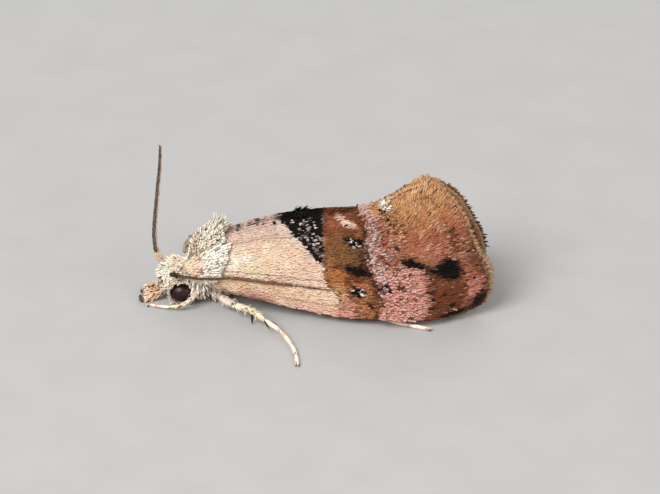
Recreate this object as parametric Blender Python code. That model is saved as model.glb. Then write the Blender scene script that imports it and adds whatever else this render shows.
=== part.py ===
"""A small cream, black and rust leaf-roller moth at rest, life size, as closed solids.

The head points along -X, the moth's left side faces -Y and the floor is z = 0. The origin is
on the floor under the middle of the body. Lengths below are millimetres; MM turns them into
metres when an object is made.
"""

import math

import bmesh
import bpy
import numpy as np

MM = 0.001
LEFT = -1
RIGHT = 1

# Clearance between neighbouring solids
GAP = 0.045

# Forewing edges when folded: fraction of the wing's length, then x, distance from the midline
# and height. The dorsum lies along the ridge of the roof and the costa close to the floor.
DORSUM = (
    (0.00, -1.66, 0.085, 1.33),
    (0.25, -0.80, 0.070, 1.61),
    (0.50, 0.08, 0.070, 1.74),
    (0.70, 0.85, 0.075, 1.80),
    (0.80, 1.22, 0.085, 1.93),
    (0.90, 1.58, 0.100, 2.17),
    (1.00, 1.93, 0.115, 2.32),
)
COSTA = (
    (0.00, -2.00, 0.50, 0.43),
    (0.12, -1.50, 0.71, 0.38),
    (0.25, -0.87, 0.85, 0.29),
    (0.38, -0.28, 0.97, 0.21),
    (0.53, 0.50, 1.17, 0.16),
    (0.66, 1.14, 1.26, 0.18),
    (0.76, 1.60, 1.33, 0.185),
    (0.86, 2.08, 1.26, 0.165),
    (0.94, 2.50, 1.06, 0.16),
    (1.00, 2.84, 0.90, 0.22),
)
# How far the wing arches out of the straight line from dorsum to costa
ARCH = ((0.0, 0.17), (0.25, 0.25), (0.55, 0.24), (0.8, 0.17), (1.0, 0.16))
TERMEN_BOW = 0.37
TERMEN_SQUARENESS = 5.0
WING_EDGE_THICKNESS = 0.09
WING_THICKNESS = 0.24
WING_STEPS_LONG = 23
WING_STEPS_ACROSS = 18

# Veins run along columns of the wing's grid, counted from the dorsum. The second number is the
# fraction of the wing's length where each starts, the third how far it is raised.
VEINS = (
    (1, 0.02, 0.026),
    (4, 0.02, 0.030),
    (6, 0.56, 0.022),
    (8, 0.56, 0.022),
    (10, 0.56, 0.022),
    (12, 0.02, 0.030),
    (14, 0.42, 0.024),
    (16, 0.30, 0.024),
)

HINDWING_THICKNESS = 0.09
HINDWING_STEPS_LONG = 12
HINDWING_STEPS_ACROSS = 6
HINDWING_FROM, HINDWING_TO = 0.10, 0.84
HINDWING_LOWEST = 0.80

# Body sections: x, height of the centre, half width, half height
HEAD_SECTIONS = (
    (-2.92, 0.37, 0.10, 0.11),
    (-2.86, 0.37, 0.22, 0.21),
    (-2.74, 0.38, 0.32, 0.29),
    (-2.58, 0.40, 0.37, 0.33),
    (-2.46, 0.42, 0.34, 0.32),
    (-2.40, 0.45, 0.27, 0.27),
)
THORAX_SECTIONS = (
    (-2.355, 0.57, 0.24, 0.29),
    (-2.27, 0.66, 0.33, 0.47),
    (-2.12, 0.74, 0.37, 0.57),
    (-1.95, 0.78, 0.35, 0.60),
    (-1.80, 0.77, 0.31, 0.58),
    (-1.66, 0.74, 0.29, 0.42),
    (-1.50, 0.73, 0.28, 0.34),
    (-1.40, 0.73, 0.24, 0.28),
)
ABDOMEN_SECTIONS = (
    (-1.355, 0.72, 0.22, 0.26),
    (-1.20, 0.72, 0.31, 0.34),
    (-0.80, 0.71, 0.34, 0.36),
    (-0.20, 0.69, 0.36, 0.37),
    (0.50, 0.66, 0.35, 0.35),
    (1.00, 0.63, 0.30, 0.30),
    (1.35, 0.60, 0.23, 0.23),
    (1.60, 0.58, 0.15, 0.15),
    (1.72, 0.57, 0.07, 0.07),
)
ABDOMEN_RINGS = 7
ABDOMEN_RING_DEPTH = 0.022

EYE_RADIUS = 0.195
EYE_CENTRE = (-2.48, 0.335, 0.237)

# Tegula, the scaled flap over the wing's root: upper and lower end of its front edge and of the
# bend in its middle. Its rear edge follows the forewing.
TEGULA_FRONT = ((-2.47, 0.36, 0.90), (-2.47, 0.41, 0.66))
TEGULA_BEND = ((-2.10, 0.46, 1.27), (-2.12, 0.60, 0.50))
TEGULA_REAR_REACH = 0.05
TEGULA_REAR_SPAN = (0.28, 0.82)
TEGULA_EDGE_THICKNESS = 0.05
TEGULA_THICKNESS = 0.10

# Vanes and locks: count, length, width and thickness
FRINGE = (22, 0.31, 0.17, 0.055)
FRINGE_SINK = 0.10
# The fringe starts on the dorsum at this fraction, and the first and last shares of its vanes
# stand on the dorsum's end and on the costa's end
FRINGE_START = 0.95
FRINGE_CORNERS = (0.06, 0.90)
FRINGE_COSTA_REACH = 0.07
WING_TUFTS = (9, 0.26, 0.17, 0.05)
WING_TUFT_ROWS = ((0.69, 0.04, 0.93, 44.0), (0.76, 0.09, 0.80, 36.0))
THORAX_LOCKS = (6, 0.27, 0.18, 0.05)
THORAX_TIERS = (-2.20, -2.10, -2.00)
THORAX_LIFT = 22.0
CREST_LOCKS = (5, 0.37, 0.16, 0.055)
# Rows of the collar in front and of the crest behind: x, lift from the surface, share of length
CREST_ROWS = (
    (-2.29, 84.0, 0.66),
    (-1.97, 46.0, 0.76),
    (-1.89, 62.0, 0.88),
    (-1.81, 80.0, 0.96),
    (-1.74, 96.0, 0.86),
)
# Angle between neighbouring locks of a tier, in degrees round the body
THORAX_SPACING, CREST_SPACING = 17.0, 15.0
HEAD_SPACING, FRONS_SPACING = 26.0, 34.0
HEAD_LOCKS = (5, 0.22, 0.17, 0.05)
HEAD_TIERS = (-2.81, -2.73, -2.63, -2.53)
HEAD_LIFT = 24.0
FRONS_LOCKS = (5, 0.25, 0.14, 0.05)
FRONS_X, FRONS_LIFT = -2.89, 30.0
LOCK_SINK = 0.022
LIFT_SPREAD = 5.0
PALP_LOCKS = (4, 0.16, 0.12, 0.045)
# Fractional stations of a palp that its first and last locks stand at
PALP_LOCK_SPAN = (0.9, 3.0)
TEGULA_LOCKS = (6, 0.24, 0.16, 0.05)
# Grid rows of the tegula that carry locks, and the grid columns of the first and last lock
TEGULA_LOCK_ROWS = (3, 6)
TEGULA_LOCK_COLUMNS = (0.3, 5.5)
TAIL_LOCKS = (8, 0.22, 0.12, 0.05)
TAIL_X, TAIL_LIFT = 1.50, 6.0
SPUR = (0.17, 0.035, 0.03)

# Each limb is a line of points (x, distance from the midline, height, radius)
PALP_NEAR = (
    (-2.80, 0.165, 0.205, 0.050),
    (-2.88, 0.190, 0.165, 0.085),
    (-3.00, 0.225, 0.120, 0.095),
    (-3.09, 0.245, 0.092, 0.078),
    (-3.15, 0.255, 0.072, 0.048),
    (-3.19, 0.260, 0.058, 0.024),
)
PALP_FAR = (
    (-2.80, 0.150, 0.205, 0.050),
    (-2.88, 0.120, 0.165, 0.080),
    (-2.98, 0.085, 0.120, 0.090),
    (-3.07, 0.065, 0.092, 0.072),
    (-3.13, 0.055, 0.072, 0.046),
    (-3.17, 0.050, 0.058, 0.024),
)
PALPS = {LEFT: PALP_NEAR, RIGHT: PALP_FAR}
ANTENNA_UPRIGHT = (
    (-2.84, 0.16, 0.60, 0.070),
    (-2.90, 0.18, 0.69, 0.075),
    (-2.95, 0.21, 0.80, 0.060),
    (-2.98, 0.25, 1.05, 0.055),
    (-2.975, 0.30, 1.32, 0.055),
    (-2.94, 0.37, 1.70, 0.052),
    (-2.91, 0.44, 2.06, 0.048),
    (-2.875, 0.50, 2.42, 0.042),
    (-2.865, 0.55, 2.79, 0.030),
)
ANTENNA_FOLDED = (
    (-2.70, 0.37, 0.62, 0.070),
    (-2.60, 0.47, 0.66, 0.070),
    (-2.45, 0.57, 0.68, 0.060),
    (-2.17, 0.68, 0.70, 0.055),
    (-1.88, 0.73, 0.72, 0.055),
)
# The rest of the folded feeler lies on the forewing: wing fractions s and t, then the radius
ANTENNA_ON_WING = (
    (0.10, 0.725, 0.055),
    (0.18, 0.730, 0.052),
    (0.26, 0.735, 0.046),
    (0.335, 0.740, 0.036),
)
LEG_FORE_NEAR = (
    (-2.18, 0.26, 0.33, 0.085),
    (-2.22, 0.42, 0.27, 0.095),
    (-2.33, 0.60, 0.20, 0.075),
    (-2.50, 0.66, 0.14, 0.060),
    (-2.70, 0.62, 0.075, 0.055),
    (-2.90, 0.55, 0.050, 0.052),
    (-3.07, 0.48, 0.045, 0.050),
)
LEG_FORE_FAR = (
    (-2.18, 0.26, 0.33, 0.085),
    (-2.20, 0.44, 0.27, 0.095),
    (-2.24, 0.64, 0.22, 0.075),
    (-2.36, 0.74, 0.16, 0.060),
    (-2.52, 0.74, 0.080, 0.055),
    (-2.68, 0.68, 0.050, 0.052),
    (-2.80, 0.60, 0.045, 0.050),
)
LEG_MID_NEAR = (
    (-1.90, 0.27, 0.27, 0.080),
    (-1.78, 0.46, 0.20, 0.095),
    (-1.50, 0.80, 0.21, 0.085),
    (-1.23, 1.10, 0.28, 0.070),
    (-0.95, 1.34, 0.20, 0.060),
    (-0.67, 1.57, 0.095, 0.055),
    (-0.47, 2.00, 0.060, 0.052),
    (-0.39, 2.35, 0.048, 0.050),
    (-0.36, 2.66, 0.045, 0.050),
)
LEG_MID_FAR = (
    (-1.90, 0.27, 0.27, 0.080),
    (-1.76, 0.46, 0.20, 0.095),
    (-1.44, 0.80, 0.21, 0.085),
    (-1.12, 1.08, 0.28, 0.070),
    (-0.84, 1.32, 0.20, 0.060),
    (-0.56, 1.56, 0.095, 0.055),
    (-0.33, 1.96, 0.060, 0.052),
    (-0.23, 2.30, 0.048, 0.050),
    (-0.18, 2.60, 0.045, 0.050),
)
LEG_HIND = (
    (-1.42, 0.20, 0.35, 0.080),
    (-1.20, 0.34, 0.27, 0.095),
    (-0.80, 0.46, 0.25, 0.095),
    (-0.42, 0.52, 0.27, 0.080),
    (0.10, 0.62, 0.22, 0.070),
    (0.60, 0.73, 0.16, 0.065),
    (0.92, 0.86, 0.085, 0.058),
    (1.30, 1.08, 0.052, 0.052),
    (1.68, 1.25, 0.046, 0.050),
    (2.02, 1.38, 0.045, 0.050),
)
LIMB_SIDES = 8
FEELER_SIDES = 6
LIMB_STEPS = 2
BALL_RINGS, BALL_SIDES = 8, 14
BODY_SIDES = 16
ABDOMEN_SIDES = 12
HEAD_STEPS, THORAX_STEPS = 8, 12


def remove_scene_objects():
    """Empty the scene that the script runs in."""
    for item in list(bpy.data.objects):
        bpy.data.objects.remove(item, do_unlink=True)


def through(knots, x):
    """The smooth value at x of a curve through knots, each an x followed by one or more values."""
    table = np.array(knots, float)
    at, values = table[:, 0], table[:, 1:]
    slopes = np.gradient(values, at, axis=0)
    x = np.clip(np.atleast_1d(np.asarray(x, float)), at[0], at[-1])
    cell = np.clip(np.searchsorted(at, x, side="right") - 1, 0, len(at) - 2)
    step = (at[cell + 1] - at[cell])[:, None]
    u = ((x - at[cell]) / (at[cell + 1] - at[cell]))[:, None]
    start = values[cell] * (1 + 2 * u) * (1 - u) ** 2 + slopes[cell] * step * u * (1 - u) ** 2
    end = values[cell + 1] * u**2 * (3 - 2 * u) + slopes[cell + 1] * step * u**2 * (u - 1)
    return start + end


def smoothstep(low, high, x):
    """0 below low, 1 above high and a smooth climb between."""
    u = np.clip((x - low) / (high - low), 0.0, 1.0)
    return u * u * (3 - 2 * u)


def unit(vectors):
    """Vectors of length 1 along the given ones."""
    return vectors / np.linalg.norm(vectors, axis=-1, keepdims=True)


def wing_surface(s, t):
    """Points of the left forewing's outer face: s runs base to termen, t dorsum to costa."""
    s, t = np.broadcast_arrays(np.asarray(s, float), np.asarray(t, float))
    flat_s, flat_t = s.ravel(), t.ravel()[:, None]
    dorsum = through(DORSUM, flat_s) * (1, LEFT, 1)
    costa = through(COSTA, flat_s) * (1, LEFT, 1)
    chord = costa - dorsum
    outward = unit(np.stack([0 * chord[:, 0], chord[:, 2], -chord[:, 1]], axis=1))
    arch = through(ARCH, flat_s) * np.sin(math.pi * flat_t) ** 0.9
    points = dorsum + chord * flat_t + outward * arch
    bow = TERMEN_BOW * (1 - np.abs(2 * flat_t[:, 0] - 1) ** TERMEN_SQUARENESS)
    points[:, 0] += bow * smoothstep(0.45, 1.0, flat_s)
    return points.reshape(*s.shape, 3)


def wing_outward(s, t):
    """The unit direction out of the left forewing's outer face."""
    d = 0.004
    s, t = np.broadcast_arrays(np.asarray(s, float), np.asarray(t, float))
    s0, s1 = np.clip(s - d, 0, 1), np.clip(s + d, 0, 1)
    t0, t1 = np.clip(t - d, 0, 1), np.clip(t + d, 0, 1)
    along = wing_surface(s1, t) - wing_surface(s0, t)
    across = wing_surface(s, t1) - wing_surface(s, t0)
    return unit(np.cross(across, along))


def wing_thickness(s, t):
    """Thickness of the forewing, least along its edges."""
    middle = np.sin(math.pi * t) ** 0.7 * smoothstep(0.0, 0.2, s) * (1 - smoothstep(0.6, 1.0, s))
    return WING_EDGE_THICKNESS + (WING_THICKNESS - WING_EDGE_THICKNESS) * middle


def grid(steps_long, steps_across, s_range=(0.0, 1.0), t_range=(0.0, 1.0)):
    """Fractions s and t at the corners of a grid over part of the wing."""
    s = np.linspace(*s_range, steps_long + 1)
    t = np.linspace(*t_range, steps_across + 1)
    return np.meshgrid(s, t, indexing="ij")


def closed_sheet(outer, inner):
    """Points and triangles of a sheet between two grids, split alike on both faces."""
    rows, columns = outer.shape[:2]
    count = rows * columns
    points = np.concatenate([outer.reshape(-1, 3), inner.reshape(-1, 3)])
    faces = []
    for i in range(rows - 1):
        for j in range(columns - 1):
            a, b = i * columns + j, i * columns + j + 1
            c, d = a + columns, b + columns
            faces += [(a, b, d), (a, d, c)]
            faces += [(a + count, d + count, b + count), (a + count, c + count, d + count)]
    rim = [i * columns for i in range(rows)]
    rim += [(rows - 1) * columns + j for j in range(1, columns)]
    rim += [i * columns + columns - 1 for i in range(rows - 2, -1, -1)]
    rim += list(range(columns - 2, 0, -1))
    for here, there in zip(rim, rim[1:] + rim[:1]):
        faces += [(here, there, there + count), (here, there + count, here + count)]
    return points, faces


def held_left(points):
    """Points moved clear of the mirror plane, on the left."""
    points = np.array(points)
    points[..., 1] = np.minimum(points[..., 1], -GAP / 2)
    return points


def vane_form(root, along, facing, sizes, bend=0.0, tip=0.35):
    """A flat tapering blade from its root; a positive bend curls its tip towards its face."""
    length, width, thickness = sizes
    along = unit(np.asarray(along, float))
    facing = unit(facing - along * (np.asarray(facing, float) @ along))
    beside = np.cross(facing, along)
    rings = []
    for share, wide, thick in ((0.0, 0.75, 1.0), (0.4, 1.0, 1.0), (0.78, 0.8, 0.8), (1.0, tip, 0.5)):
        centre = root + along * length * share + facing * bend * length * share**2
        across = beside * width * wide / 2
        through_it = facing * thickness * thick / 2
        corners = [across + through_it, through_it - across, -across - through_it, across - through_it]
        rings.append(centre + np.array(corners))
    return loft(rings, 4)


def loft(sections, sides):
    """Points and faces of a closed body through rings of points, all with the same count."""
    points = np.concatenate(sections)
    faces = []
    for ring in range(len(sections) - 1):
        for k in range(sides):
            a, b = ring * sides + k, ring * sides + (k + 1) % sides
            faces.append((a, b, b + sides, a + sides))
    faces.append(tuple(reversed(range(sides))))
    faces.append(tuple(range((len(sections) - 1) * sides, len(sections) * sides)))
    return points, faces


def body_form(sections, sides, steps, ripple=None):
    """A closed body along X from sections of x, centre height, half width and half height."""
    table = np.array(sections, float)
    first, last = table[0, 0], table[-1, 0]
    rings = []
    for x in np.linspace(first, last, steps + 1):
        height, half_width, half_height = through(sections, x)[0]
        swell = 1.0 if ripple is None else ripple((x - first) / (last - first))
        angles = np.arange(sides) * 2 * math.pi / sides
        ring = np.stack(
            [
                np.full(sides, x),
                half_width * swell * np.cos(angles),
                height + half_height * swell * np.sin(angles),
            ],
            axis=1,
        )
        rings.append(ring)
    return loft(rings, sides)


def limb_path(line, side, steps):
    """Centres and radii along a limb's smooth line."""
    knots = [(i, x, side * out, z, radius) for i, (x, out, z, radius) in enumerate(line)]
    path = through(knots, np.linspace(0, len(line) - 1, (len(line) - 1) * steps + 1))
    return path[:, :3], path[:, 3]


def limb_form(line, side, steps=LIMB_STEPS, sides=LIMB_SIDES, margin=0.0):
    """A round tapering limb along a smooth line; what would reach below the floor is cut flat."""
    centres, radii = limb_path(line, side, steps)
    tangents = unit(np.gradient(centres, axis=0))
    centres[0] -= tangents[0] * margin
    centres[-1] += tangents[-1] * margin
    across = np.array([0.0, 0.0, 1.0])
    if abs(tangents[0, 2]) > 0.9:
        across = np.array([0.0, 1.0, 0.0])
    angles = (np.arange(sides) + 0.5) * 2 * math.pi / sides
    rings = []
    for centre, tangent, radius in zip(centres, tangents, radii + margin):
        up = unit(across - tangent * (across @ tangent))
        beside = np.cross(tangent, up)
        across = up
        offsets = np.outer(np.cos(angles), up) + np.outer(np.sin(angles), beside)
        rings.append(centre + radius * offsets)
    points, faces = loft(rings, sides)
    if margin == 0.0:
        points[:, 2] = np.maximum(points[:, 2], 0.0)
    return points, faces


def ball_form(centre, radius):
    """A closed ball with its poles along Y."""
    layers = []
    turn = np.arange(BALL_SIDES) * 2 * math.pi / BALL_SIDES
    for k in range(1, BALL_RINGS):
        angle = math.pi * k / BALL_RINGS
        ring = np.stack(
            [
                math.sin(angle) * np.cos(turn),
                np.full(BALL_SIDES, math.cos(angle)),
                math.sin(angle) * np.sin(turn),
            ],
            axis=1,
        )
        layers.append(np.array(centre) + radius * ring)
    return loft(layers, BALL_SIDES)


def mesh_from(name, form):
    """A mesh in metres from points in millimetres, with every face pointing out."""
    points, faces = form
    mesh = bpy.data.meshes.new(name)
    mesh.from_pydata([tuple(p) for p in np.asarray(points) * MM], [], faces)
    work = bmesh.new()
    work.from_mesh(mesh)
    bmesh.ops.recalc_face_normals(work, faces=work.faces)
    work.to_mesh(mesh)
    work.free()
    return mesh


def material(name, colour, roughness, metallic=0.0):
    """A Principled material, made once for each name."""
    made = bpy.data.materials.get(name) or bpy.data.materials.new(name)
    made.use_nodes = True
    shader = made.node_tree.nodes["Principled BSDF"]
    shader.inputs["Base Color"].default_value = (*colour, 1.0)
    shader.inputs["Roughness"].default_value = roughness
    shader.inputs["Metallic"].default_value = metallic
    return made


def body_finish():
    """The cream scales of head, thorax and tegulae."""
    return material("body_scales", (0.80, 0.74, 0.62), 0.75)


def node(name, form, finish):
    """One named object of the model."""
    item = bpy.data.objects.new(name, mesh_from(name, form))
    bpy.context.scene.collection.objects.link(item)
    item.data.materials.append(finish)
    item.data.shade_smooth()
    item.data.set_sharp_from_angle(angle=math.radians(40))
    return item


def mirrored(form):
    """The same form on the moth's other side."""
    points, faces = form
    return points * (1, -1, 1), [tuple(reversed(face)) for face in faces]


def on_side(form, side):
    """A left-hand form as it is, or mirrored to the right."""
    return form if side == LEFT else mirrored(form)


def cut(item, cutters, solver="EXACT"):
    """Take closed forms away from an object, for sockets and clearances."""
    for number, form in enumerate(cutters):
        tool = bpy.data.objects.new("cutter", mesh_from("cutter", form))
        bpy.context.scene.collection.objects.link(tool)
        tool.hide_render = True
        tool.display_type = "WIRE"
        change = item.modifiers.new(f"socket_{number}", "BOOLEAN")
        change.operation = "DIFFERENCE"
        change.solver = solver
        change.object = tool
        apply_modifier(item, change)
        bpy.data.objects.remove(tool, do_unlink=True)
    keep_largest(item)


def fuse(item, forms, solver="EXACT"):
    """Join closed forms to an object by one union, and keep its largest closed surface."""
    group = bpy.data.collections.new("pieces")
    bpy.context.scene.collection.children.link(group)
    for form in forms:
        group.objects.link(bpy.data.objects.new("piece", mesh_from("piece", form)))
    change = item.modifiers.new("union", "BOOLEAN")
    change.operation = "UNION"
    change.solver = solver
    change.operand_type = "COLLECTION"
    change.collection = group
    apply_modifier(item, change)
    for piece in list(group.objects):
        bpy.data.objects.remove(piece, do_unlink=True)
    bpy.data.collections.remove(group)
    keep_largest(item)


def apply_modifier(item, change):
    """Apply one modifier."""
    bpy.context.view_layer.update()
    with bpy.context.temp_override(object=item, active_object=item):
        bpy.ops.object.modifier_apply(modifier=change.name)


def keep_largest(item):
    """Drop every closed surface of an object's mesh but the largest."""
    work = bmesh.new()
    work.from_mesh(item.data)
    work.faces.ensure_lookup_table()
    unseen = set(work.faces)
    islands = []
    while unseen:
        stack = [unseen.pop()]
        island = set(stack)
        while stack:
            face = stack.pop()
            for edge in face.edges:
                for other in edge.link_faces:
                    if other in unseen:
                        unseen.discard(other)
                        island.add(other)
                        stack.append(other)
        islands.append(island)
    islands.sort(key=lambda island: sum(face.calc_area() for face in island))
    spare = [face for island in islands[:-1] for face in island]
    bmesh.ops.delete(work, geom=spare, context="FACES")
    work.to_mesh(item.data)
    work.free()


def body_point(sections, x, angle):
    """A point on a body form and the outward direction there; angle 90 is its top."""
    height, half_width, half_height = through(sections, x)[0]
    c, s = math.cos(math.radians(angle)), math.sin(math.radians(angle))
    outward = unit(np.array([0.0, c / half_width, s / half_height]))
    return np.array([x, half_width * c, height + half_height * s]), outward


def lock_on(sections, x, angle, lie, sizes, lift, sink=LOCK_SINK, bend=-0.10):
    """A lock set on a body form, rising by lift degrees from its surface along its lie."""
    point, outward = body_point(sections, x, angle)
    lie = unit(lie - outward * (np.asarray(lie, float) @ outward))
    rise = math.radians(lift)
    along = lie * math.cos(rise) + outward * math.sin(rise)
    root = point - outward * sink - along * sink
    return vane_form(root, along, outward, sizes, bend)


def varied(sizes, rng, share=0.12):
    """Length, width and thickness, with the length and width a little varied."""
    length, width, thickness = sizes
    return (
        length * (1 + share * rng.uniform(-1, 1)),
        width * (1 + share * rng.uniform(-1, 1)),
        thickness,
    )


def tier_angles(count, spacing, shift=0.0):
    """Angles round the body of a tier's locks, about its top, moved by a share of the spacing."""
    return [90 + (k - (count - 1) / 2 + shift) * spacing for k in range(count)]


def edge_point(q):
    """Grid fractions s and t at share q of the wing's outer edge, tornus to apex."""
    first, last = FRINGE_CORNERS
    if q < first:
        return FRINGE_START + (1 - FRINGE_START) * q / first, 0.0
    if q > last:
        return 1.0 - FRINGE_COSTA_REACH * (q - last) / (1 - last), 1.0
    return 1.0, (q - first) / (last - first)


def fringe_forms(rng):
    """The left forewing's fringe, as overlapping tapered vanes around its outer edge."""
    count, length, width, thickness = FRINGE
    middle = wing_surface(0.75, 0.5)
    forms = []
    for q in np.linspace(0.0, 1.0, count):
        s, t = edge_point(q)
        before, after = edge_point(max(q - 0.03, 0.0)), edge_point(min(q + 0.03, 1.0))
        edge = unit(wing_surface(*after) - wing_surface(*before))
        face = wing_outward(s, t)
        out = unit(np.cross(face, edge))
        point = wing_surface(s, t)
        if out @ (point - middle) < 0:
            out = -out
        layer = 0.46 + 0.12 * (int(round(q * (count - 1))) % 2)
        root = point - face * WING_EDGE_THICKNESS * layer - out * FRINGE_SINK
        sizes = varied((length, width, thickness), rng, 0.08)
        points, faces = vane_form(root, out, face, sizes, -0.06, 0.5)
        forms.append((held_left(points), faces))
    return forms


def tuft_forms(rng):
    """Rows of raised scale tufts across the left forewing, leaning towards its outer edge."""
    count, length, width, thickness = WING_TUFTS
    forms = []
    for s, t_first, t_last, lift in WING_TUFT_ROWS:
        for t in np.linspace(t_first, t_last, count):
            s_here = s + 0.012 * rng.uniform(-1, 1)
            face = wing_outward(s_here, t)
            lie = unit(wing_surface(s_here + 0.03, t) - wing_surface(s_here, t))
            rise = math.radians(lift)
            along = lie * math.cos(rise) + face * math.sin(rise)
            root = wing_surface(s_here, t) - face * WING_EDGE_THICKNESS / 2 - along * LOCK_SINK
            sizes = varied((length, width, thickness), rng)
            points, faces = vane_form(root, along, face, sizes, -0.06, 0.5)
            forms.append((held_left(points), faces))
    return forms


def make_forewing(side):
    """One forewing: an arched sheet with raised veins, scale tufts and a fringe of vanes."""
    s, t = grid(WING_STEPS_LONG, WING_STEPS_ACROSS)
    raised = np.zeros_like(s)
    for column, start, height in VEINS:
        raised[:, column] = height * smoothstep(start - 0.02, start + 0.06, s[:, column])
    face = wing_outward(s, t)
    outer = wing_surface(s, t) + face * raised[..., None]
    inner = held_left(wing_surface(s, t) - face * wing_thickness(s, t)[..., None])
    name = "forewing_left" if side == LEFT else "forewing_right"
    finish = material("wing_scales", (0.62, 0.33, 0.19), 0.62)
    item = node(name, on_side(closed_sheet(outer, inner), side), finish)
    rng = np.random.default_rng(11)
    fuse(item, [on_side(form, side) for form in fringe_forms(rng) + tuft_forms(rng)], "MANIFOLD")


def make_hindwing(side):
    """One hindwing, folded close under the forewing."""
    s, t = grid(
        HINDWING_STEPS_LONG,
        HINDWING_STEPS_ACROSS,
        (HINDWING_FROM, HINDWING_TO),
        (0.0, HINDWING_LOWEST),
    )
    along = (s - HINDWING_FROM) / (HINDWING_TO - HINDWING_FROM)
    t = t * (0.55 + 0.45 * np.sin(math.pi * np.clip(along, 0.0, 1.0)) ** 0.6)
    depth = (wing_thickness(s, t) + GAP)[..., None]
    face = wing_outward(s, t)
    outer = wing_surface(s, t) - face * depth
    inner = outer - face * HINDWING_THICKNESS
    drop = (np.maximum(outer[..., 1] + GAP / 2, 0.0) * 1.2)[..., None] * (0, 0, -1)
    name = "hindwing_left" if side == LEFT else "hindwing_right"
    finish = material("hindwing_scales", (0.42, 0.36, 0.31), 0.55)
    form = closed_sheet(held_left(outer + drop), held_left(inner + drop))
    node(name, on_side(form, side), finish)


def eye_centre(side):
    """Centre of one compound eye."""
    x, out, z = EYE_CENTRE
    return x, side * out, z


def make_head():
    """Head capsule with scale locks over its crown and face, and sockets for what it carries."""
    item = node("head", body_form(HEAD_SECTIONS, BODY_SIDES, HEAD_STEPS), body_finish())
    rng = np.random.default_rng(5)
    forms = []
    for tier, x in enumerate(HEAD_TIERS):
        for angle in tier_angles(HEAD_LOCKS[0], HEAD_SPACING, 0.5 * (tier % 2) - 0.25):
            lie = (-1.0, 0.5 * math.cos(math.radians(angle)), -0.15)
            sizes = varied(HEAD_LOCKS[1:], rng)
            lift = HEAD_LIFT + LIFT_SPREAD * rng.uniform(-1, 1)
            forms.append(lock_on(HEAD_SECTIONS, x, angle, lie, sizes, lift))
    for angle in tier_angles(FRONS_LOCKS[0], FRONS_SPACING):
        lie = (-0.75, 0.35 * math.cos(math.radians(angle)), -1.0)
        sizes = varied(FRONS_LOCKS[1:], rng)
        forms.append(lock_on(HEAD_SECTIONS, FRONS_X, angle, lie, sizes, FRONS_LIFT))
    fuse(item, forms)
    sockets = []
    feelers = {LEFT: ANTENNA_FOLDED, RIGHT: ANTENNA_UPRIGHT}
    for side in (LEFT, RIGHT):
        sockets.append(ball_form(eye_centre(side), EYE_RADIUS + GAP))
        sockets.append(limb_form(feelers[side][:4], side, margin=GAP))
        sockets.append(limb_form(PALPS[side][:4], side, margin=GAP))
    cut(item, sockets, "MANIFOLD")


def make_eye(side):
    """One compound eye."""
    name = "eye_left" if side == LEFT else "eye_right"
    form = ball_form(eye_centre(side), EYE_RADIUS)
    node(name, form, material("eye_lens", (0.03, 0.012, 0.014), 0.18))


def make_palp(side):
    """One labial palp, thick with scales and drooping forward."""
    name = "palp_left" if side == LEFT else "palp_right"
    finish = material("palp_scales", (0.42, 0.24, 0.13), 0.75)
    item = node(name, limb_form(PALPS[side], side), finish)
    centres, radii = limb_path(PALPS[side], side, 1)
    count, *sizes = PALP_LOCKS
    lie = unit(centres[-1] - centres[0])
    forms = []
    for station in np.linspace(*PALP_LOCK_SPAN, count):
        low, share = int(station), station % 1
        centre = centres[low] * (1 - share) + centres[min(low + 1, len(centres) - 1)] * share
        for tilt in (1.0, 0.1):
            outward = unit(np.array([0.0, side * (1 - 0.5 * tilt), tilt]))
            along = unit(lie + 0.35 * outward)
            root = centre + outward * radii[low] * 0.55 - along * 0.03
            forms.append(vane_form(root, along, outward, sizes, -0.1, 0.4))
    fuse(item, forms)


def folded_antenna():
    """The folded feeler's line: past the tegula and then along the forewing's outer face."""
    line = list(ANTENNA_FOLDED)
    for s, t, radius in ANTENNA_ON_WING:
        x, y, z = wing_surface(s, t) + wing_outward(s, t) * (GAP * 1.5 + radius)
        line.append((x, LEFT * y, z, radius))
    return tuple(line)


def make_antennae():
    """The left feeler folded back along the wing and the right one standing up."""
    finish = material("antenna", (0.16, 0.10, 0.07), 0.5)
    node("antenna_left", limb_form(folded_antenna(), LEFT, sides=FEELER_SIDES), finish)
    node("antenna_right", limb_form(ANTENNA_UPRIGHT, RIGHT, sides=FEELER_SIDES), finish)


def make_thorax():
    """Thorax between the wing roots: tiers of scale locks, a collar in front, a crest behind."""
    item = node("thorax", body_form(THORAX_SECTIONS, BODY_SIDES, THORAX_STEPS), body_finish())
    rng = np.random.default_rng(3)
    forms = []
    for tier, x in enumerate(THORAX_TIERS):
        for angle in tier_angles(THORAX_LOCKS[0], THORAX_SPACING, 0.5 * (tier % 2) - 0.25):
            lie = (1.0, 0.25 * math.cos(math.radians(angle)), 0.0)
            sizes = varied(THORAX_LOCKS[1:], rng)
            lift = THORAX_LIFT + LIFT_SPREAD * rng.uniform(-1, 1)
            forms.append(lock_on(THORAX_SECTIONS, x, angle, lie, sizes, lift))
    for row, (x, lift, scale) in enumerate(CREST_ROWS):
        for angle in tier_angles(CREST_LOCKS[0], CREST_SPACING, 0.4 * (row % 2) - 0.2):
            length, width, thickness = varied(CREST_LOCKS[1:], rng)
            sizes = (length * scale, width, thickness)
            forms.append(lock_on(THORAX_SECTIONS, x, angle, (1.0, 0.0, 0.0), sizes, lift, 0.06))
    fuse(item, forms)
    legs = ((LEG_FORE_NEAR, LEFT), (LEG_FORE_FAR, RIGHT), (LEG_MID_NEAR, LEFT), (LEG_MID_FAR, RIGHT))
    sockets = [limb_form(line[:3], side, margin=GAP) for line, side in legs]
    sockets += [limb_form(LEG_HIND[:3], side, margin=GAP) for side in (LEFT, RIGHT)]
    cut(item, sockets)


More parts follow.
